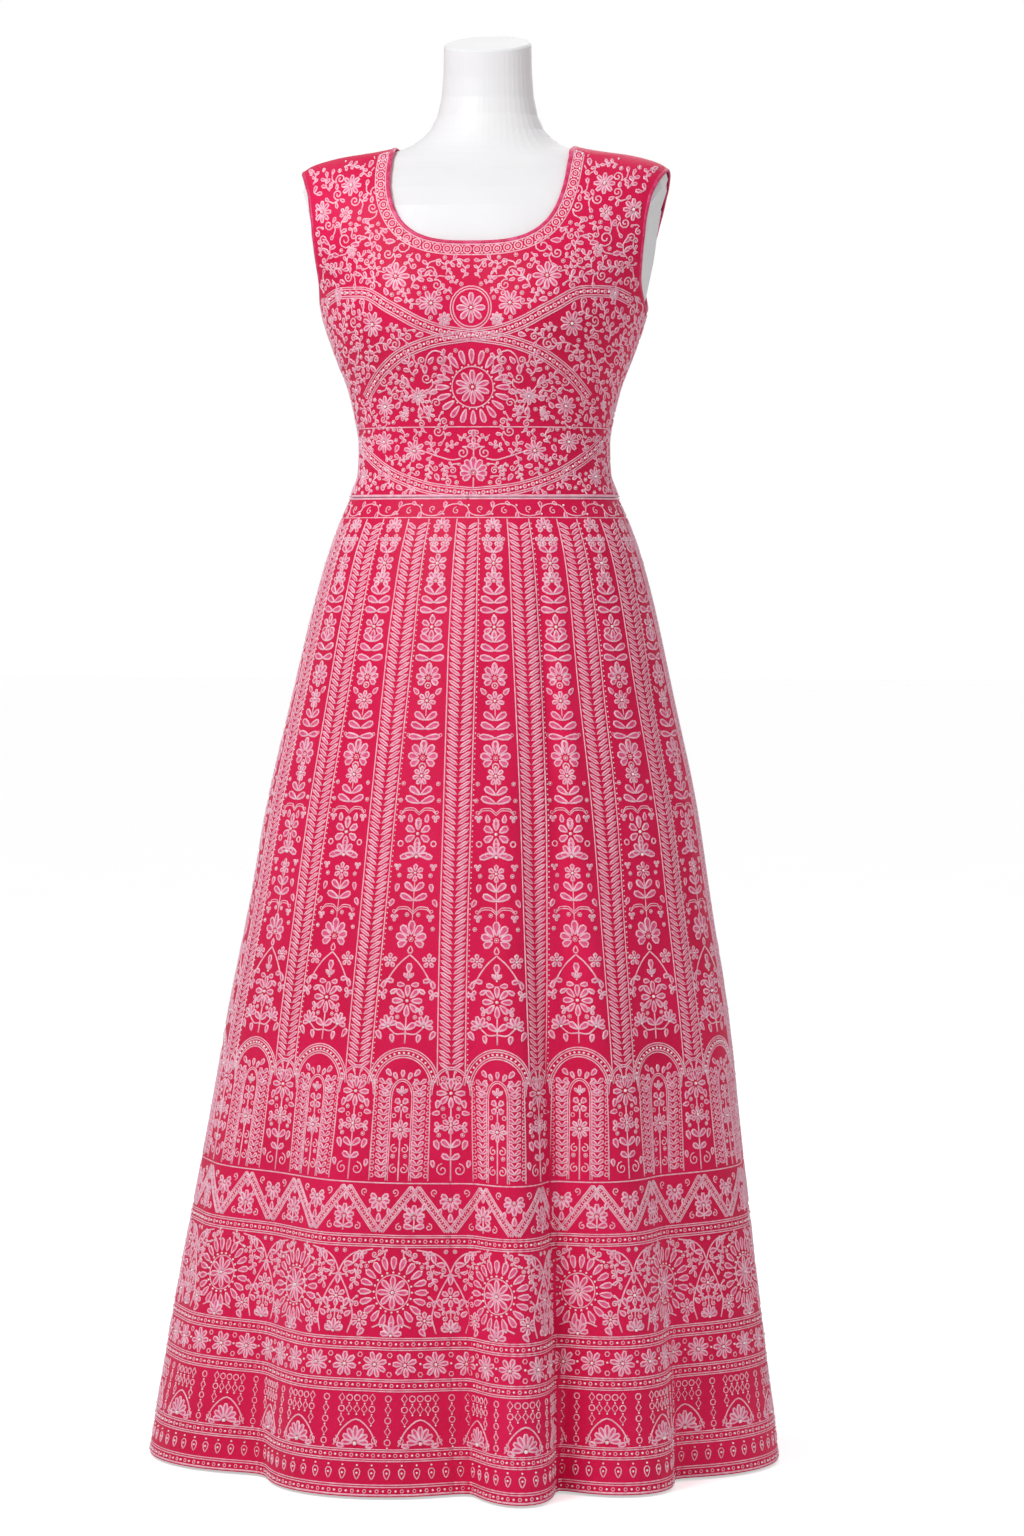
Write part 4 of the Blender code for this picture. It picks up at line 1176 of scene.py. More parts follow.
def stroke_mesh(kind, flat, width, place, lay):
    """Points, triangles and quads of cords, rings and pads: two slopes, and the filled middle of a pad."""
    n = flat.shape[1]
    closed = kind != "cord"
    if closed:
        x, y = flat[..., 0], flat[..., 1]
        area = (x * np.roll(y, -1, 1)).sum(1) - (y * np.roll(x, -1, 1)).sum(1)
        flat[area < 0] = flat[area < 0][:, ::-1]
        tangent = np.roll(flat, -1, axis=1) - np.roll(flat, 1, axis=1)
    else:
        tangent = np.gradient(flat, axis=1)
    tangent /= np.maximum(np.linalg.norm(tangent, axis=2, keepdims=True), 1e-9)
    out = np.stack([tangent[..., 1], -tangent[..., 0]], axis=-1) * width[..., None] / 2
    ridge = width / CORD_WIDTH * CORD_HEIGHT + np.zeros(flat.shape[:2])
    inner = (FILL_HEIGHT if kind == "pad" else -SUNK) + 0 * ridge
    points = [
        lay(*np.moveaxis(flat + shift, -1, 0), height, place + 0 * ridge)
        for shift, height in ((out, -SUNK + 0 * ridge), (0 * out, ridge), (-out, inner))
    ]
    i = np.arange(n if closed else n - 1)
    after = (i + 1) % n
    quads = np.concatenate([np.stack([i + k, after + k, after + n + k, i + n + k], 1) for k in (0, n)])
    triangles = np.empty((0, 3), int)
    if kind == "pad":
        middle = flat.mean(axis=1, keepdims=True)
        raised = np.full((len(flat), 1), MIDDLE_HEIGHT)
        points.append(lay(middle[..., 0], middle[..., 1], raised, place))
        triangles = np.stack([i + 2 * n, after + 2 * n, 0 * i + 3 * n], 1)
    elif not closed:
        triangles = np.array([(0, n, 2 * n), (n - 1, 3 * n - 1, 2 * n - 1)])
    return points, triangles, quads


def meshes_of(pattern, lay, is_mirrored):
    """Points, faces and material numbers of a pattern's strokes, laid on the cloth. Their hidden undersides
    are left open. A mirrored layout has its faces turned over."""
    groups = {}
    for kind, points, width, place in pattern.strokes:
        groups.setdefault((kind, len(points)), []).append((points, width, place))
    all_points, triangles, quads, triangle_slots, quad_slots = [], [], [], [], []
    base = 0
    for (kind, _), strokes in groups.items():
        flat, width, place = (np.array(column) for column in zip(*strokes))
        width, place = width[:, None], place[:, None]
        if kind == "bead":
            points, some_triangles, some_quads = bead_mesh(flat, width, place, lay)
        else:
            points, some_triangles, some_quads = stroke_mesh(kind, flat, width, place, lay)
        points = np.concatenate(points, axis=1)
        count, size = points.shape[:2]
        starts = base + np.arange(count)[:, None, None] * size
        triangles.append((some_triangles[None] + starts).reshape(-1, 3))
        triangle_slots.append(np.full(count * len(some_triangles), TRIANGLE_SLOTS[kind]))
        quads.append((some_quads[None] + starts).reshape(-1, 4))
        quad_slots.append(np.full(count * len(some_quads), QUAD_SLOTS[kind]))
        all_points.append(points.reshape(-1, 3))
        base += count * size
    faces = [np.concatenate(group) for group in (triangles, quads)]
    if is_mirrored:
        faces = [group[:, ::-1] for group in faces]
    return np.concatenate(all_points), faces, np.concatenate(triangle_slots + quad_slots)


def embroider(name, pattern, lay, is_mirrored=False):
    """One embroidered piece: a pattern's strokes as raised cords, filled pads and beads on the cloth."""
    points, faces, slots = meshes_of(pattern, lay, is_mirrored)
    add_mesh(name, points, faces, [CORD, FILL, BEADS], slots)


def pitch(z):
    """Width of one panel at a height."""
    return skirt_length(z) / KALI_COUNT


def chevron_columns():
    """Columns of slanted leaves over the seams, with a cord on one side and a beaded line on the other."""
    made = Pattern()
    rows = np.arange(CHEVRON_BOTTOM, CHEVRON_TOP, CHEVRON_ROW)
    for column in range(KALI_COUNT):
        place = column / KALI_COUNT
        for z in rows:
            half = 0.0112 * min(1.0, float(pitch(z)) / 0.066)
            for side in (-1, 1):
                leaf = capsule(half * 1.22, 0.0026, (side * 0.001, z), -side * 57)
                made.pad(leaf, 0.0014, place)
        heights = np.linspace(CHEVRON_BOTTOM - 0.004, CHEVRON_TOP + 0.004, 46)
        edge = 0.0142 * np.minimum(1.0, pitch(heights) / 0.066)
        for side in (-1, 1):
            made.cord(np.stack([side * edge, heights], axis=1), 0.0015, place)
        for z in np.arange(CHEVRON_BOTTOM, CHEVRON_TOP, 0.0052):
            x = 0.0163 * min(1.0, float(pitch(z)) / 0.066)
            made.bead(x, z, 0.0008, place)
    return made


def vine_lower():
    """The lower, wider part of a vine, from a leafy stem down to the arches."""
    made = Pattern()
    made.add(fan(0.014, 5, 160, 1.1), 0, 0.6395)
    made.add(leaf_pair(0.017, 0.006, 104), 0, 0.642)
    for side in (-1, 1):
        made.add(trefoil(0.0035), side * 0.019, 0.629, 180)
    made.add(flower(0.0088, 6), 0, 0.6225)
    made.add(leaf_row(0.012, 0.0062, 48), 0, 0.6045)
    made.add(leaf_row(0.0145, 0.0062, 66), 0, 0.595)
    made.add(moustache(0.02, 0.0095), 0, 0.5855)
    made.cord([(0, 0.616), (0, 0.6), (0, 0.585), (0, 0.574)], 0.0012)
    made.add(loops(0.0185, 7, 230), 0, 0.556)
    made.ring(teardrop(0.007, 0.0055, (0, 0.549), 180))
    for side in (-1, 1):
        made.add(flower(0.0072, 5), side * 0.0205, 0.5345)
        stem = np.array([(0, 0.5405), (0.009, 0.533), (0.019, 0.52), (0.0265, 0.506)])
        made.cord(curve_through(stem * (side, 1), 9))
        made.add(trefoil(0.0055), side * 0.0265, 0.501, 180 - side * 20)
        made.add(leaf_pair(0.008, 0.0048, 50), side * 0.024, 0.515, 150 * side)
        made.add(fan(0.0115, 5, 160, 1.1), side * 0.0185, 0.469, -side * 18)
        made.cord(curve_through([(0, 0.462), (side * 0.009, 0.461), (side * 0.0175, 0.467)], 6))
        made.petal(0.0095, 0.0055, (side * 0.0255, 0.456), -side * 30)
        made.petal(0.008, 0.005, (side * 0.013, 0.453), -side * 10)
        made.add(trefoil(0.0048), side * 0.014, 0.485, -side * 40)
        made.petal(0.008, 0.0045, (side * 0.011, 0.506), -side * 120)
    made.petal(0.0095, 0.0065, (0, 0.5225), 0)
    made.add(fan(0.0085, 3, 80), 0, 0.516)
    made.add(flower(0.0155, 8), 0, 0.4945)
    made.cord([(0, 0.4785), (0, 0.472), (0, 0.462), (0, 0.452)])
    made.add(leaf_row(0.011, 0.006, 58), 0, 0.466)
    return made


def twin_flowers(size):
    """Two flowers side by side."""
    one = flower(size, 5)
    return Pattern().add(one, -size * 0.95).add(one, size * 0.95)


def vine_columns():
    """Flowering vines down the middle of each panel: flowers, leaf pairs, drops and hanging arms."""
    shapes = {
        "loops": lambda size: loops(size, 7, 240),
        "twins": twin_flowers,
        "leaves_up": lambda size: leaf_row(size, 0.0064, 55),
        "leaves_out": lambda size: leaf_row(size, 0.0066, 68),
        "leaves_flat": lambda size: leaf_row(size, 0.0066, 80),
        "leaves_curled": lambda size: leaf_row(size, 0.006, 84, curled=True),
        "moustache": lambda size: moustache(size, 0.009),
    }
    upper, lower = Pattern(), vine_lower()
    for form, height, size in VINE:
        narrow = min(1.0, float(pitch(height)) / 0.063)
        if form in shapes:
            upper.add(shapes[form](size), 0, height, scale=narrow)
        elif form == "flower":
            upper.add(flower(size, 6 if size > 0.01 else 7, first=0), 0, height, scale=narrow)
        elif form == "bead":
            upper.bead(0, height, size)
        elif form == "ring":
            upper.ring(circle(0, height, size))
            upper.bead(0, height, 0.001)
        elif form == "drop":
            upper.petal(size * 1.5, size, (0, height - size * 0.6), 0, points=6)
        elif form == "stem":
            upper.cord([(0, height + size / 2), (0, height), (0, height - size / 2)], FINE_CORD)
        elif form == "side_rings":
            for side in (-1, 1):
                upper.ring(circle(side * size, height, 0.0028))
    seam = Pattern()
    heights = np.linspace(CHEVRON_BOTTOM, CHEVRON_TOP, 90)
    for side in (-1, 1):
        seam.cord(np.stack([side * 0.0175 * np.minimum(1.0, pitch(heights) / 0.066), heights], axis=1))
    for low, high, seed in ((0.74, 0.86, 21), (0.6, 0.74, 11), (0.45, 0.6, 12)):
        reach = float(pitch(low) + pitch(high)) / 4 - 0.016
        lower.add(fill_cell(Pattern().add(upper).add(lower), seam, low, high, seed, 0.8, 26, 4, reach))
    made = Pattern()
    for column in range(KALI_COUNT):
        place = (column + 0.5) / KALI_COUNT
        made.add(upper, place=place)
        made.add(lower, place=place)
    return made


def level_line(pattern, z, width=CORD_WIDTH):
    """A cord all round the skirt at one height."""
    length = float(skirt_length(z))
    x = np.linspace(0, length * 0.999999, int(length / LEVEL_STEP))
    pattern.cord(np.stack([x, np.full(len(x), z)], axis=1), width)


def all_round(pattern, count, z, *shapes):
    """Shapes in turn at even steps all round the skirt at one height."""
    for i in range(count):
        pattern.add(shapes[i % len(shapes)], 0, z, place=(i + 0.5) / count)


def beads_and_rings(pattern, count, z):
    """Beads and small rings in turn, all round the skirt at one height."""
    ring = Pattern().ring(circle(0, 0, 0.0017, 6), 0.0011)
    all_round(pattern, count, z, Pattern().bead(0, 0, 0.0013), ring)


def band(pattern, z):
    """A border all round: two cords above, two below, and beads between small rings."""
    for offset in (BORDER_HALF, BORDER_HALF * 0.66, -BORDER_HALF * 0.66, -BORDER_HALF):
        level_line(pattern, z + offset, SLIM_CORD)
    beads_and_rings(pattern, int(float(skirt_length(z)) / BORDER_STEP / KALI_COUNT) * KALI_COUNT, z)


def arches():
    """Niches: a wide double arch over a narrow niche below each vine, and a niche on each seam."""
    made = Pattern()
    unit = Pattern()
    seam = Pattern()
    for inset in (0.0, 0.0022, 0.0072, 0.0094):
        top = ARCH_TOP - ARCH_SPRING + 0.014 - inset
        unit.cord(arc(0, ARCH_SPRING, 0.0385 - inset, top, 8, 172, 24), FINE_CORD)
    for inset in (0.0, 0.002):
        seam.cord(arc(0, ARCH_SPRING - 0.004, 0.0215 - inset, 0.028 - inset, 0, 180, 16), FINE_CORD)
    for angle in np.linspace(14, 166, 19):
        c, s = cos_sin(angle)
        unit.bead(0.0337 * c, ARCH_SPRING + 0.0375 * s, 0.0013)
    for side in (-1, 1):
        for inset in (0.0, 0.002):
            unit.cord([(side * (0.0125 - inset), ARCH_SPRING - 0.008), (side * (0.0125 - inset), 0.37),
                       (side * (0.0128 - inset), 0.34), (side * (0.013 - inset), ARCH_FOOT)], 0.0013)
        seam.cord([(side * 0.0215, ARCH_SPRING), (side * 0.0215, 0.38), (side * 0.022, 0.35),
                   (side * 0.023, ARCH_FOOT)], 0.0014)
        for i, z in enumerate(np.arange(ARCH_FOOT + 0.003, ARCH_SPRING + 0.008, 0.0062)):
            unit.petal(0.0078, 0.0042, (side * 0.018, z), side * 50, points=6, cord=SLIM_CORD)
            unit.petal(0.0078, 0.0042, (side * 0.0182, z), -side * 50, points=6, cord=SLIM_CORD)
            unit.ring(circle(side * 0.0278, z + 0.002, 0.002, 6), 0.0012)
    for inset in (0.0, 0.002):
        unit.cord(arc(0, ARCH_SPRING - 0.008, 0.0125 - inset, 0.0195 - inset, 0, 180, 12), SLIM_CORD)
    for angle in (15, 40, 65, 90, 115, 140, 165):
        c, s = cos_sin(angle)
        unit.petal(0.0072, 0.004, (0.014 * c, ARCH_SPRING - 0.0075 + 0.0207 * s), angle - 90, points=7)
    unit.add(fan(0.0085, 3, 90), 0, 0.401)
    unit.add(flower(0.0084, 4, first=45), 0, 0.3905)
    unit.cord([(0, 0.386), (0, 0.38), (0, 0.3745)])
    unit.add(flower(0.0098, 8), 0, 0.366)
    unit.cord([(0, 0.357), (0, 0.345), (0, 0.33), (0, ARCH_FOOT)])
    for side in (-1, 1):
        unit.cord(spiral(side * 0.005, 0.347, 0.0046, 90, 1.2, -side), FINE_CORD)
        unit.cord(spiral(side * 0.0052, 0.327, 0.005, 90, 1.3, -side), FINE_CORD)
        unit.ring(circle(side * 0.0072, 0.38, 0.002, 6), 0.0012)
        seam.cord(spiral(side * 0.0085, 0.3265, 0.0065, 90, 1.3, -side), FINE_CORD)
        seam.petal(0.0095, 0.006, (side * 0.0125, 0.347), -side * 20)
        seam.add(trefoil(0.0056), side * 0.0125, 0.369, -side * 30)
        seam.petal(0.008, 0.0052, (side * 0.0145, 0.388), side * 15)
        seam.ring(circle(side * 0.007, 0.38, 0.002, 6), 0.0012)
        seam.petal(0.007, 0.0045, (side * 0.0175, 0.329), -side * 10)
    seam.add(flower(0.0145, 8), 0, 0.403)
    seam.cord([(0, 0.389), (0, 0.375), (0, 0.36), (0, ARCH_FOOT)])
    seam.add(flower(0.009, 6), 0, 0.371)
    seam.add(leaf_row(0.011, 0.006, 52), 0, 0.349)
    seam.add(leaf_row(0.0095, 0.0055, 60), 0, 0.337)
    ground = fill_cell(unit, seam, ARCH_FOOT, 0.428, 7, 0.78, 110, 3)
    for column in range(KALI_COUNT):
        made.add(unit, place=(column + 0.5) / KALI_COUNT)
        made.add(ground, place=(column + 0.5) / KALI_COUNT)
        made.add(seam, place=column / KALI_COUNT)
    level_line(made, 0.313, 0.0015)
    return made


def zigzag():
    """A zigzag ribbon between pairs of cords with small rings inside, and sprigs in its triangles."""
    made = Pattern()
    half = float(skirt_length((ZIGZAG_TOP + ZIGZAG_BOTTOM) / 2)) / ZIGZAG_COUNT / 2
    unit = Pattern()
    for side in (-1, 1):
        for offset in (-0.005, -0.003, 0.003, 0.005):
            leg = np.linspace((offset, ZIGZAG_TOP), (half + offset, ZIGZAG_BOTTOM), 10)
            unit.cord(leg * (side, 1), FINE_CORD)
        for t in np.linspace(0.08, 0.94, 10):
            z = ZIGZAG_TOP + (ZIGZAG_BOTTOM - ZIGZAG_TOP) * t
            unit.ring(circle(side * half * t, z, 0.0017, 6), 0.0012)
        unit.cord(spiral(side * 0.015, 0.2695, 0.004, 90, 1.2, -side, 10), FINE_CORD)
        unit.petal(0.007, 0.0044, (side * 0.0085, 0.286), -side * 20)
    unit.add(loops(0.0125, 7, 230), 0, 0.279)
    unit.add(leaf_row(0.01, 0.0055, 78), 0, 0.269)
    unit.petal(0.007, 0.0044, (0, 0.295), 0, points=7)
    unit.cord([(0, 0.279), (0, 0.272), (0, 0.265)])
    down = Pattern()
    down.add(loops(0.0125, 7, 230), 0, 0.297, 180)
    down.petal(0.0085, 0.005, (0, 0.283), 180)
    for side in (-1, 1):
        down.cord(spiral(side * 0.016, 0.304, 0.004, 270, 1.2, side, 10), FINE_CORD)
        down.petal(0.007, 0.0044, (side * 0.0095, 0.288), -side * 160)
        down.ring(circle(side * 0.0045, 0.2745, 0.0017, 6), 0.0012)
    for i in range(ZIGZAG_COUNT):
        made.add(unit, place=(i + 0.5) / ZIGZAG_COUNT)
        made.add(down, place=i / ZIGZAG_COUNT)
    return made


def rosette(radius):
    """A large round flower: eight petals in a beaded ring, and two rounds of looped petals outside it."""
    made = Pattern()
    made.add(flower(radius * 0.47, 8, inner=0.16, plump=0.72))
    made.ring(circle(0, 0, radius * 0.51, 28), FINE_CORD)
    for i in range(20):
        turn = 360 * i / 20
        c, s = cos_sin(turn)
        made.ray(radius * 0.66, radius * 0.38, radius * 0.185, turn, 0.0015, 8)
        made.bead(-radius * 0.58 * s, radius * 0.58 * c, 0.0012)
        if i % 2:
            made.bead(-radius * 1.05 * s, radius * 1.05 * c, 0.001)
    return made


def rosette_zone():
    """Rosettes under the vines, ogee stems between them, and sprigs on the ground."""
    made = Pattern()
    big = rosette(ROSETTE_RADIUS)
    under = Pattern()
    under.add(fan(0.013, 5, 160, 1.1), 0, 0.163)
    wave = [(-0.02, 0.17), (-0.01, 0.1735), (0, 0.169), (0.01, 0.1735), (0.02, 0.17)]
    under.cord(curve_through(wave, 13))
    between = Pattern()
    for side in (-1, 1):
        between.cord(
            curve_through([(side * 0.034, 0.247), (side * 0.015, 0.243), (side * 0.004, 0.233), (0, 0.224),
                           (-side * 0.012, 0.202), (-side * 0.019, 0.18), (-side * 0.015, 0.164)], 24)
        )
        between.add(leaf_row(0.0095, 0.0055, 55), side * 0.015, 0.233, 40 * side)
        between.add(flower(0.0088, 6), side * 0.0265, 0.177)
        between.petal(0.0085, 0.0055, (side * 0.026, 0.162), -side * 40)
        between.petal(0.0085, 0.0055, (side * 0.009, 0.19), -side * 25)
        between.cord(spiral(side * 0.0075, 0.17, 0.0048, 90, 1.2, side, 10), FINE_CORD)
        between.add(trefoil(0.0052), side * 0.023, 0.242, side * 60)
        between.bead(side * 0.031, 0.234, 0.0013)
    between.add(flower(0.0095, 6), 0, 0.2)
    between.add(fan(0.0115, 5, 150, 1.1), 0, 0.166)
    between.cord([(0, 0.19), (0, 0.185), (0, 0.177)])
    between.petal(0.009, 0.0055, (0, 0.212), 0)
    whole = Pattern().add(big, 0, ROSETTE_Z).add(under)
    ground = fill_cell(whole, between, 0.161, 0.249, 3, 0.76, 90)
    for column in range(KALI_COUNT):
        place = (column + 0.5) / KALI_COUNT
        made.add(big, 0, ROSETTE_Z, 11.0 * (column % 3), place=place)
        made.add(under, place=place)
        made.add(ground, place=place)
        made.add(between, place=column / KALI_COUNT)
    return made


def hem_flowers():
    """A row of small flowers between two borders."""
    made = Pattern()
    z = 0.1335
    count = KALI_COUNT * 4
    eight, seven = flower(0.0128, 8, inner=0.2), flower(0.0122, 7, inner=0.22)
    dots = Pattern()
    dots.bead(0, 0.001, 0.0013)
    for side in (-1, 1):
        dots.ring(circle(0, side * 0.0095, 0.0024, 6), 0.0012)
    for i in range(count):
        made.add(eight if i % 2 else seven, 0, z, 17.0 * (i % 5), place=(i + 0.5) / count)
        made.add(dots, 0, z, place=i / count)
    return made


def hanging_motifs():
    """Strings of small diamonds and rings that hang from a border, with a fanned lotus between them."""
    made = Pattern()
    diamond = np.array([(0, 0.0042), (0.003, 0), (0, -0.0042), (-0.003, 0)])
    unit = Pattern()
    for x, drops in ((-0.0158, 3), (-0.0079, 2), (0.0, 2), (0.0079, 2), (0.0158, 3)):
        for i in range(drops):
            z = 0.1 - i * 0.0108
            if (i + drops) % 2:
                unit.ring(diamond + (x, z), SLIM_CORD)
            else:
                unit.ring(circle(x, z, 0.0031, 7), SLIM_CORD)
            unit.bead(x, z - 0.0054, 0.001)
    unit.add(fan(0.0165, 7, 176, 0.85), 0, 0.056)
    gable = [(-0.0225, 0.053), (-0.015, 0.068), (0, 0.079), (0.015, 0.068), (0.0225, 0.053)]
    unit.cord(curve_through(gable, 15))
    for side in (-1, 1):
        unit.cord(spiral(side * 0.0205, 0.058, 0.004, 90, 1.2, side), 0.0012)
        unit.petal(0.0075, 0.0048, (side * 0.0115, 0.052), -side * 75)
    count = KALI_COUNT * 2
    for i in range(count):
        made.add(unit, place=(i + 0.5) / count)
        place = i / count
        for j in range(5):
            z = 0.1 - j * 0.0108
            shape = diamond + (0, z) if j % 2 else circle(0, z, 0.0031, 7)
            made.ring(shape, 0.0013, place).bead(0, z - 0.0054, 0.001, place)
    return made


def hem_edge():
    """A row of upright drops over the hem's edging of cords and beads."""
    made = Pattern()
    drop = Pattern()
    drop.ring(teardrop(0.0105, 0.0072, (0, -0.0065), 0), SLIM_CORD)
    drop.bead(0, -0.0005, 0.0012)
    drop.bead(0, 0.0072, 0.0011)
    all_round(made, KALI_COUNT * 9, 0.027, drop)
    for height in (0.015, 0.0128):
        level_line(made, height, SLIM_CORD)
    level_line(made, 0.005, 0.002)
    beads_and_rings(made, KALI_COUNT * 22, 0.0088)
    return made


def borders():
    """The four borders all round the lower skirt."""
    made = Pattern()
    for z in BORDERS_Z:
        band(made, z)
    return made


def waist_scrolls():
    """A scrolling vine all round, just under the waist seam, and a piped cord over the seam."""
    made = Pattern()
    z = 0.9915
    count = 32
    step = float(skirt_length(z)) / count
    for i in range(count):
        side = 1 if i % 2 else -1
        turn = Pattern()
        turn.cord(arc(0, 0, step / 2, side * 0.0062, 180, 0, 9), FINE_CORD)
        turn.cord(spiral(0, -side * 0.001, 0.004, 90 * side, 1.1, side, 9), SLIM_CORD)
        turn.bead(step / 2, 0.0045 * side, 0.0012)
        turn.petal(0.0066, 0.0044, (step / 2, -side * 0.002), 180 if side > 0 else 0, points=6, cord=0.0012)
        turn.petal(0.0058, 0.0038, (step * 0.25, side * 0.005), side * 60, points=6, cord=0.0012)
        made.add(turn, 0, z, place=(i + 0.5) / count)
    level_line(made, 1.0034, 0.0026)
    level_line(made, 0.9835, SLIM_CORD)
    return made


def bodice_bands(made, place):
    """The crossed bands over the bust, the belt band and the thin level lines."""
    upper = [(0.178, 1.209), (0.15, 1.215), (0.118, 1.214), (0.082, 1.1975), (0.05, 1.181), (0.026, 1.1735),
             (0, 1.17)]
    lower = [(0, 1.17), (0.034, 1.1655), (0.064, 1.156), (0.096, 1.135), (0.122, 1.108)]
    belt = [(0, 1.0075), (0.04, 1.012), (0.08, 1.0245), (0.116, 1.044), (0.148, 1.064)]
    for path in (upper, lower, belt):
        middle = curve_through(path, 44)
        tangent = np.gradient(middle, axis=0)
        tangent /= np.linalg.norm(tangent, axis=1, keepdims=True)
        across = np.stack([-tangent[:, 1], tangent[:, 0]], axis=1)
        length = np.hypot(*np.diff(middle, axis=0).T).sum()
        for side in (-1, 1):
            for offset in (-0.0056, -0.0036, 0.0036, 0.0056):
                made.cord((middle + across * offset) * (side, 1), 0.0014, place)
            count = int(length / 0.0042)
            for i in range(count):
                at = (i + 0.5) / count * (len(middle) - 1)
                x, y = (np.interp(at, np.arange(len(middle)), middle[:, j]) for j in (0, 1))
                if i % 2:
                    made.bead(side * x, y, 0.0014, place)
                else:
                    made.pad(circle(side * x, y, 0.0019, 6), 0.0012, place)
    made.cord([(x, 1.077) for x in np.linspace(-0.165, 0.165, 40)], 0.0015, place)


def medallion():
    """The round medallion of the bodice: a flower in a ring, with looped petals round it."""
    made = Pattern()
    made.add(flower(0.0175, 10, inner=0.2, plump=0.8))
    made.ring(circle(0, 0, 0.0212, 30), 0.0015)
    for i in range(20):
        turn = 360 * i / 20
        made.ray(0.024, 0.0142, 0.0056, turn, 0.0016, 10)
        c, s = cos_sin(turn + 9)
        made.bead(0.0227 * c, 0.0227 * s, 0.001)
    return made


def bodice_front_pattern():
    """The bodice front: bands, medallions, centre ornament and sprigs that cover the ground."""
    made = Pattern()
    bodice_bands(made, 0.0)
    made.add(medallion(), 0, 1.118)
    small = Pattern()
    small.add(flower(0.015, 8, inner=0.2))
    small.ring(circle(0, 0, 0.019, 26), 0.0015)
    small.ring(circle(0, 0, 0.0216, 26), 0.0015)
    made.add(small, 0, 1.1975)
    bodice_centre(made, 0.0)
    scatter(made, 0.0)
    waist_vine(made, 0.0)
    return finished(made, True)


def finished(made, is_front):
    """One side's pattern, cut off at its edges, with the neck's rings and small motifs on the ground."""
    made = drop_outside(made, is_front).add(neck_scallops(is_front))
    ground = fill_ground(made, 0.0 if is_front else 1.0, 5 if is_front else 9)
    return made.add(drop_outside(ground, is_front))


def scatter(made, place):
    """Flowers, sprigs, curls and leaves on the ground between the bands, the same on both sides."""
    shapes = {
        "flower": lambda size: flower(size, 8, inner=0.22),
        "hook": hooked_curl,
        "sprig_flower": lambda size: sprig(size, 3, size * 0.3, "flower"),
        "sprig_curl": lambda size: sprig(size, 4, -size * 0.4, "curl"),
        "sprig_leaf": lambda size: sprig(size, 4, size * 0.3, "trefoil"),
    }
    for kind, x, z, size, turn in SPRIGS:
        for side in (-1, 1):
            made.add(shapes[kind](size), side * x, z, side * turn, flip=side, place=place)


def fill_ground(made, place, seed):
    """Small sprigs, curls, leaves and rings for wherever the bodice's ground is still bare."""
    taken = np.concatenate([s[1] for s in made.strokes if s[0] != "bead"])
    taken = np.concatenate([taken, taken * (-1, 1)])
    box = (0.002, 0.262, WAIST_SEAM_Z + 0.004, GROUND_TOP_Z)
    motifs = filler_motifs(0.92)
    return scatter_fillers(Pattern(), taken, box, np.random.default_rng(seed), 6000, motifs, place)


def fill_cell(unit, seam, low, high, seed, scale, tries, first_motif=0, reach=1.0):
    """Small motifs on one panel's ground between two heights, clear of its own strokes and its seams'."""
    half = float(pitch((low + high) / 2)) / 2
    taken = [s[1] for s in unit.strokes if s[0] != "bead"]
    for side in (-1, 1):
        taken += [s[1] + (side * half, 0) for s in seam.strokes if s[0] != "bead"]
    for z in (low, high):
        taken.append(np.stack([np.linspace(-half, half, 60), np.full(60, z)], axis=1))
    for side in (-1, 1):
        taken.append(np.stack([np.full(60, side * half), np.linspace(low, high, 60)], axis=1))
    dense = [curve_through(points, 40) if 2 < len(points) < 9 and np.ptp(points[:, 1]) > 0.03 else points
             for points in taken]
    box = (0.0, min(half, reach), low, high)
    motifs = filler_motifs(scale)[first_motif:]
    chance = np.random.default_rng(seed)
    return scatter_fillers(Pattern(), np.concatenate(dense), box, chance, tries, motifs)


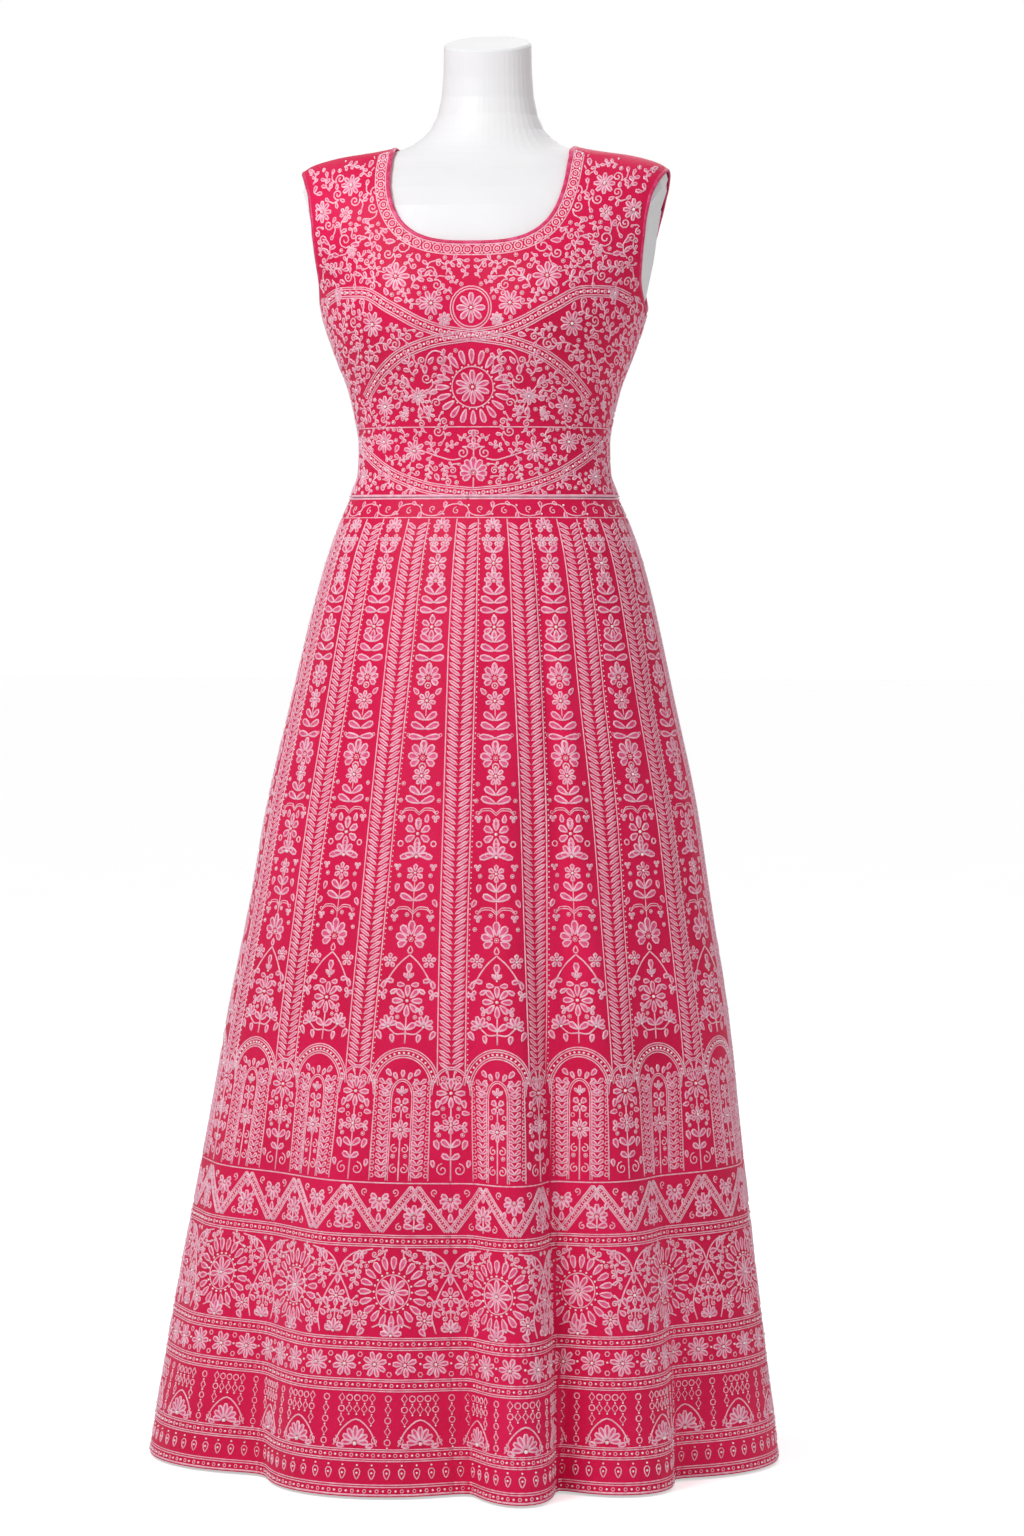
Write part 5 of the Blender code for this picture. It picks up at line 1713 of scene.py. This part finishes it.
def neck_scallops(is_front):
    """A row of beaded rings along the neckline, between two cords, with beads between the rings."""
    made = Pattern()
    drop = NECK_DROP_FRONT if is_front else NECK_DROP_BACK
    cloth = FRONT_CLOTH if is_front else BACK_CLOTH
    place = 0.0 if is_front else 1.0
    turn = np.linspace(0, 1, 400)
    fall = np.sin(turn * math.pi / 2) ** (2 / NECK_SQUARENESS)
    across = np.cos(turn * math.pi / 2) ** (2 / NECK_SQUARENESS)
    world_x, z = NECK_HALF_WIDTH * across, NECK_TOP_Z - drop * fall
    keep = z < GROUND_TOP_Z
    world_x, z = world_x[keep], z[keep]
    reach = np.linspace(0, BODICE_REACH, 1500)
    x = []
    for wide, height in zip(world_x, z):
        widths = cloth.at(reach, np.full(len(reach), height), np.zeros(len(reach)))[:, 0]
        rising = slice(0, int(np.argmax(widths)) + 1)
        x.append(np.interp(wide, widths[rising], reach[rising]))
    x = np.array(x)
    edge = np.stack([x, z], axis=1)
    away = np.gradient(edge, axis=0)
    away /= np.maximum(np.linalg.norm(away, axis=1, keepdims=True), 1e-9)
    away = np.stack([away[:, 1], -away[:, 0]], axis=1)
    if away[-1, 1] > 0:
        away = -away
    length = np.append(0, np.cumsum(np.hypot(*np.diff(edge, axis=0).T)))

    def beside(at, offset):
        return np.stack([np.interp(at, length, (edge + away * offset)[:, j]) for j in (0, 1)], axis=-1)

    count = int(length[-1] / 0.0098)
    for side in (-1, 1):
        for offset in (0.0012, 0.0118):
            line = beside(np.linspace(0, length[-1], 60), offset)
            made.cord(line * (side, 1), 0.0015, place)
        for i in range(count):
            ring_x, ring_y = beside((i + 0.5) / count * length[-1], 0.0064)
            made.ring(circle(side * ring_x, ring_y, 0.004, 10), 0.0016, place)
            made.pad(circle(side * ring_x, ring_y, 0.0016, 6), 0.0011, place)
            for offset, radius in ((0.01, 0.0011), (0.003, 0.0009)):
                bead_x, bead_y = beside(i / count * length[-1], offset)
                made.bead(side * bead_x, bead_y, radius, place)
    return made


def bodice_back_pattern():
    """The bodice back, finished like the front with the same bands, ornaments and sprigs."""
    made = Pattern()
    bodice_bands(made, 1.0)
    made.add(medallion(), 0, 1.118, place=1.0)
    bodice_centre(made, 1.0)
    scatter(made, 1.0)
    for z in (1.1975, 1.248, 1.296):
        made.add(flower(0.015, 8, inner=0.2), 0, z, place=1.0)
        made.add(leaf_pair(0.014, 0.006, 60), 0, z - 0.026, place=1.0)
    waist_vine(made, 1.0)
    return finished(made, False)


def drop_outside(pattern, is_front):
    """Leave out the strokes that would lie past the neck, the armholes or the side seams."""
    cloth = FRONT_CLOTH if is_front else BACK_CLOTH
    drop = NECK_DROP_FRONT if is_front else NECK_DROP_BACK
    depth = ARMHOLE_FRONT if is_front else ARMHOLE_BACK
    middle_z = (ARMHOLE_TOP_Z + ARMHOLE_BOTTOM_Z) / 2
    half_height = (ARMHOLE_TOP_Z - ARMHOLE_BOTTOM_Z) / 2
    kept = Pattern()
    for kind, points, width, place in pattern.strokes:
        x, z = np.abs(points[:, 0]), points[:, 1]
        laid = cloth.at(x, z, np.zeros(len(x)))
        above = cloth.at(x, z + SMALL_RISE, np.zeros(len(x)))
        stretched = np.linalg.norm(above - laid, axis=1) > SMALL_RISE * MOST_STRETCH
        in_neck = (laid[:, 0] < neck_half_width(z, drop) + NECK_ROW) & (z > NECK_TOP_Z - drop - NECK_ROW)
        behind = laid[:, 1] - neck_back(z)
        height = (z - middle_z) / (half_height + HOLE_MARGIN_UP)
        from_seam = np.abs(behind) / (depth + HOLE_MARGIN_ASIDE)
        in_hole = (height**2 + from_seam**2 < 1) & (laid[:, 0] > ARMHOLE_FROM_X)
        past_seam = behind > -SEAM_MARGIN if is_front else behind < SEAM_MARGIN
        outside = in_neck | in_hole | past_seam | stretched | (z < WAIST_SEAM_Z)
        if kind == "cord" and outside.any() and not outside.all():
            inside = np.flatnonzero(~outside)
            points = points[inside[0] : inside[-1] + 1]
            if len(points) < 2:
                continue
        elif outside.any():
            continue
        kept.strokes.append((kind, points, width, place))
    return kept


def dress_form():
    """Better finishes for the form and its stand, which keep their solids."""
    for node, finish in (("form_torso", form_material()), ("form_pole", steel_material())):
        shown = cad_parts[node]
        shown.data.materials.clear()
        shown.data.materials.append(finish)
    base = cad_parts["form_base"]
    base.data.materials.clear()
    base.data.materials.append(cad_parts["form_pole"].data.materials[0])


def studio():
    """A pale floor, soft light from the upper left and the photograph's camera."""
    floor = bpy.data.meshes.new("studio_floor")
    corners = [(x * FLOOR_HALF, y * FLOOR_HALF, 0) for x, y in ((-1, -1), (1, -1), (1, 1), (-1, 1))]
    floor.from_pydata(corners, [], [(0, 1, 2, 3)])
    floor.materials.append(floor_material())
    ground = bpy.data.objects.new("studio_floor", floor)
    bpy.context.scene.collection.objects.link(ground)

    world = bpy.data.worlds.new("studio")
    bpy.context.scene.world = world
    world.use_nodes = True
    tree = world.node_tree
    sky = tree.nodes["Background"]
    sky.inputs["Color"].default_value = (1, 1, 1, 1)
    tree.links.new(backdrop_strength(tree, AMBIENT_LIGHT), sky.inputs["Strength"])
    bpy.context.scene.view_settings.view_transform = "Standard"

    for name, place, size, power in LAMPS:
        data = bpy.data.lights.new(name, "AREA")
        data.shape = "DISK"
        data.size = size
        data.energy = power
        lamp = bpy.data.objects.new(name, data)
        lamp.location = place
        lamp.rotation_euler = (Vector(LAMP_TARGET) - Vector(place)).to_track_quat("-Z", "Y").to_euler()
        bpy.context.scene.collection.objects.link(lamp)

    data = bpy.data.cameras.new("camera")
    data.sensor_width = SENSOR_WIDTH
    data.lens = data.sensor_width * CAMERA_DISTANCE / METRES_IN_VIEW
    camera = bpy.data.objects.new("camera", data)
    right = Vector((math.cos(CAMERA_AZIMUTH), math.sin(CAMERA_AZIMUTH), 0))
    towards = Vector((math.sin(CAMERA_AZIMUTH), -math.cos(CAMERA_AZIMUTH), 0))
    camera.location = towards * CAMERA_DISTANCE + right * CAMERA_ASIDE + Vector((0, 0, CAMERA_HEIGHT))
    look = -towards * math.cos(CAMERA_PITCH) - Vector((0, 0, math.sin(CAMERA_PITCH)))
    camera.rotation_euler = look.to_track_quat("-Z", "Y").to_euler()
    bpy.context.scene.collection.objects.link(camera)
    bpy.context.scene.camera = camera


def main():
    studio()
    dress_form()
    for index in range(KALI_COUNT):
        kali(index)
    bodice_panel("bodice_front", True)
    bodice_panel("bodice_back", False)
    bindings()
    embroider("skirt_chevrons", chevron_columns(), lay_on_skirt)
    embroider("skirt_vines", vine_columns(), lay_on_skirt)
    embroider("skirt_arches", arches(), lay_on_skirt)
    embroider("skirt_zigzag", zigzag(), lay_on_skirt)
    embroider("skirt_rosettes", rosette_zone(), lay_on_skirt)
    embroider("skirt_borders", borders(), lay_on_skirt)
    embroider("hem_flowers", hem_flowers(), lay_on_skirt)
    embroider("hem_hanging_motifs", hanging_motifs(), lay_on_skirt)
    embroider("hem_edging", hem_edge(), lay_on_skirt)
    embroider("waist_scrolls", waist_scrolls(), lay_on_skirt)
    embroider("bodice_front_embroidery", bodice_front_pattern(), lay_on_bodice)
    embroider("bodice_back_embroidery", bodice_back_pattern(), lay_on_bodice, is_mirrored=True)


main()
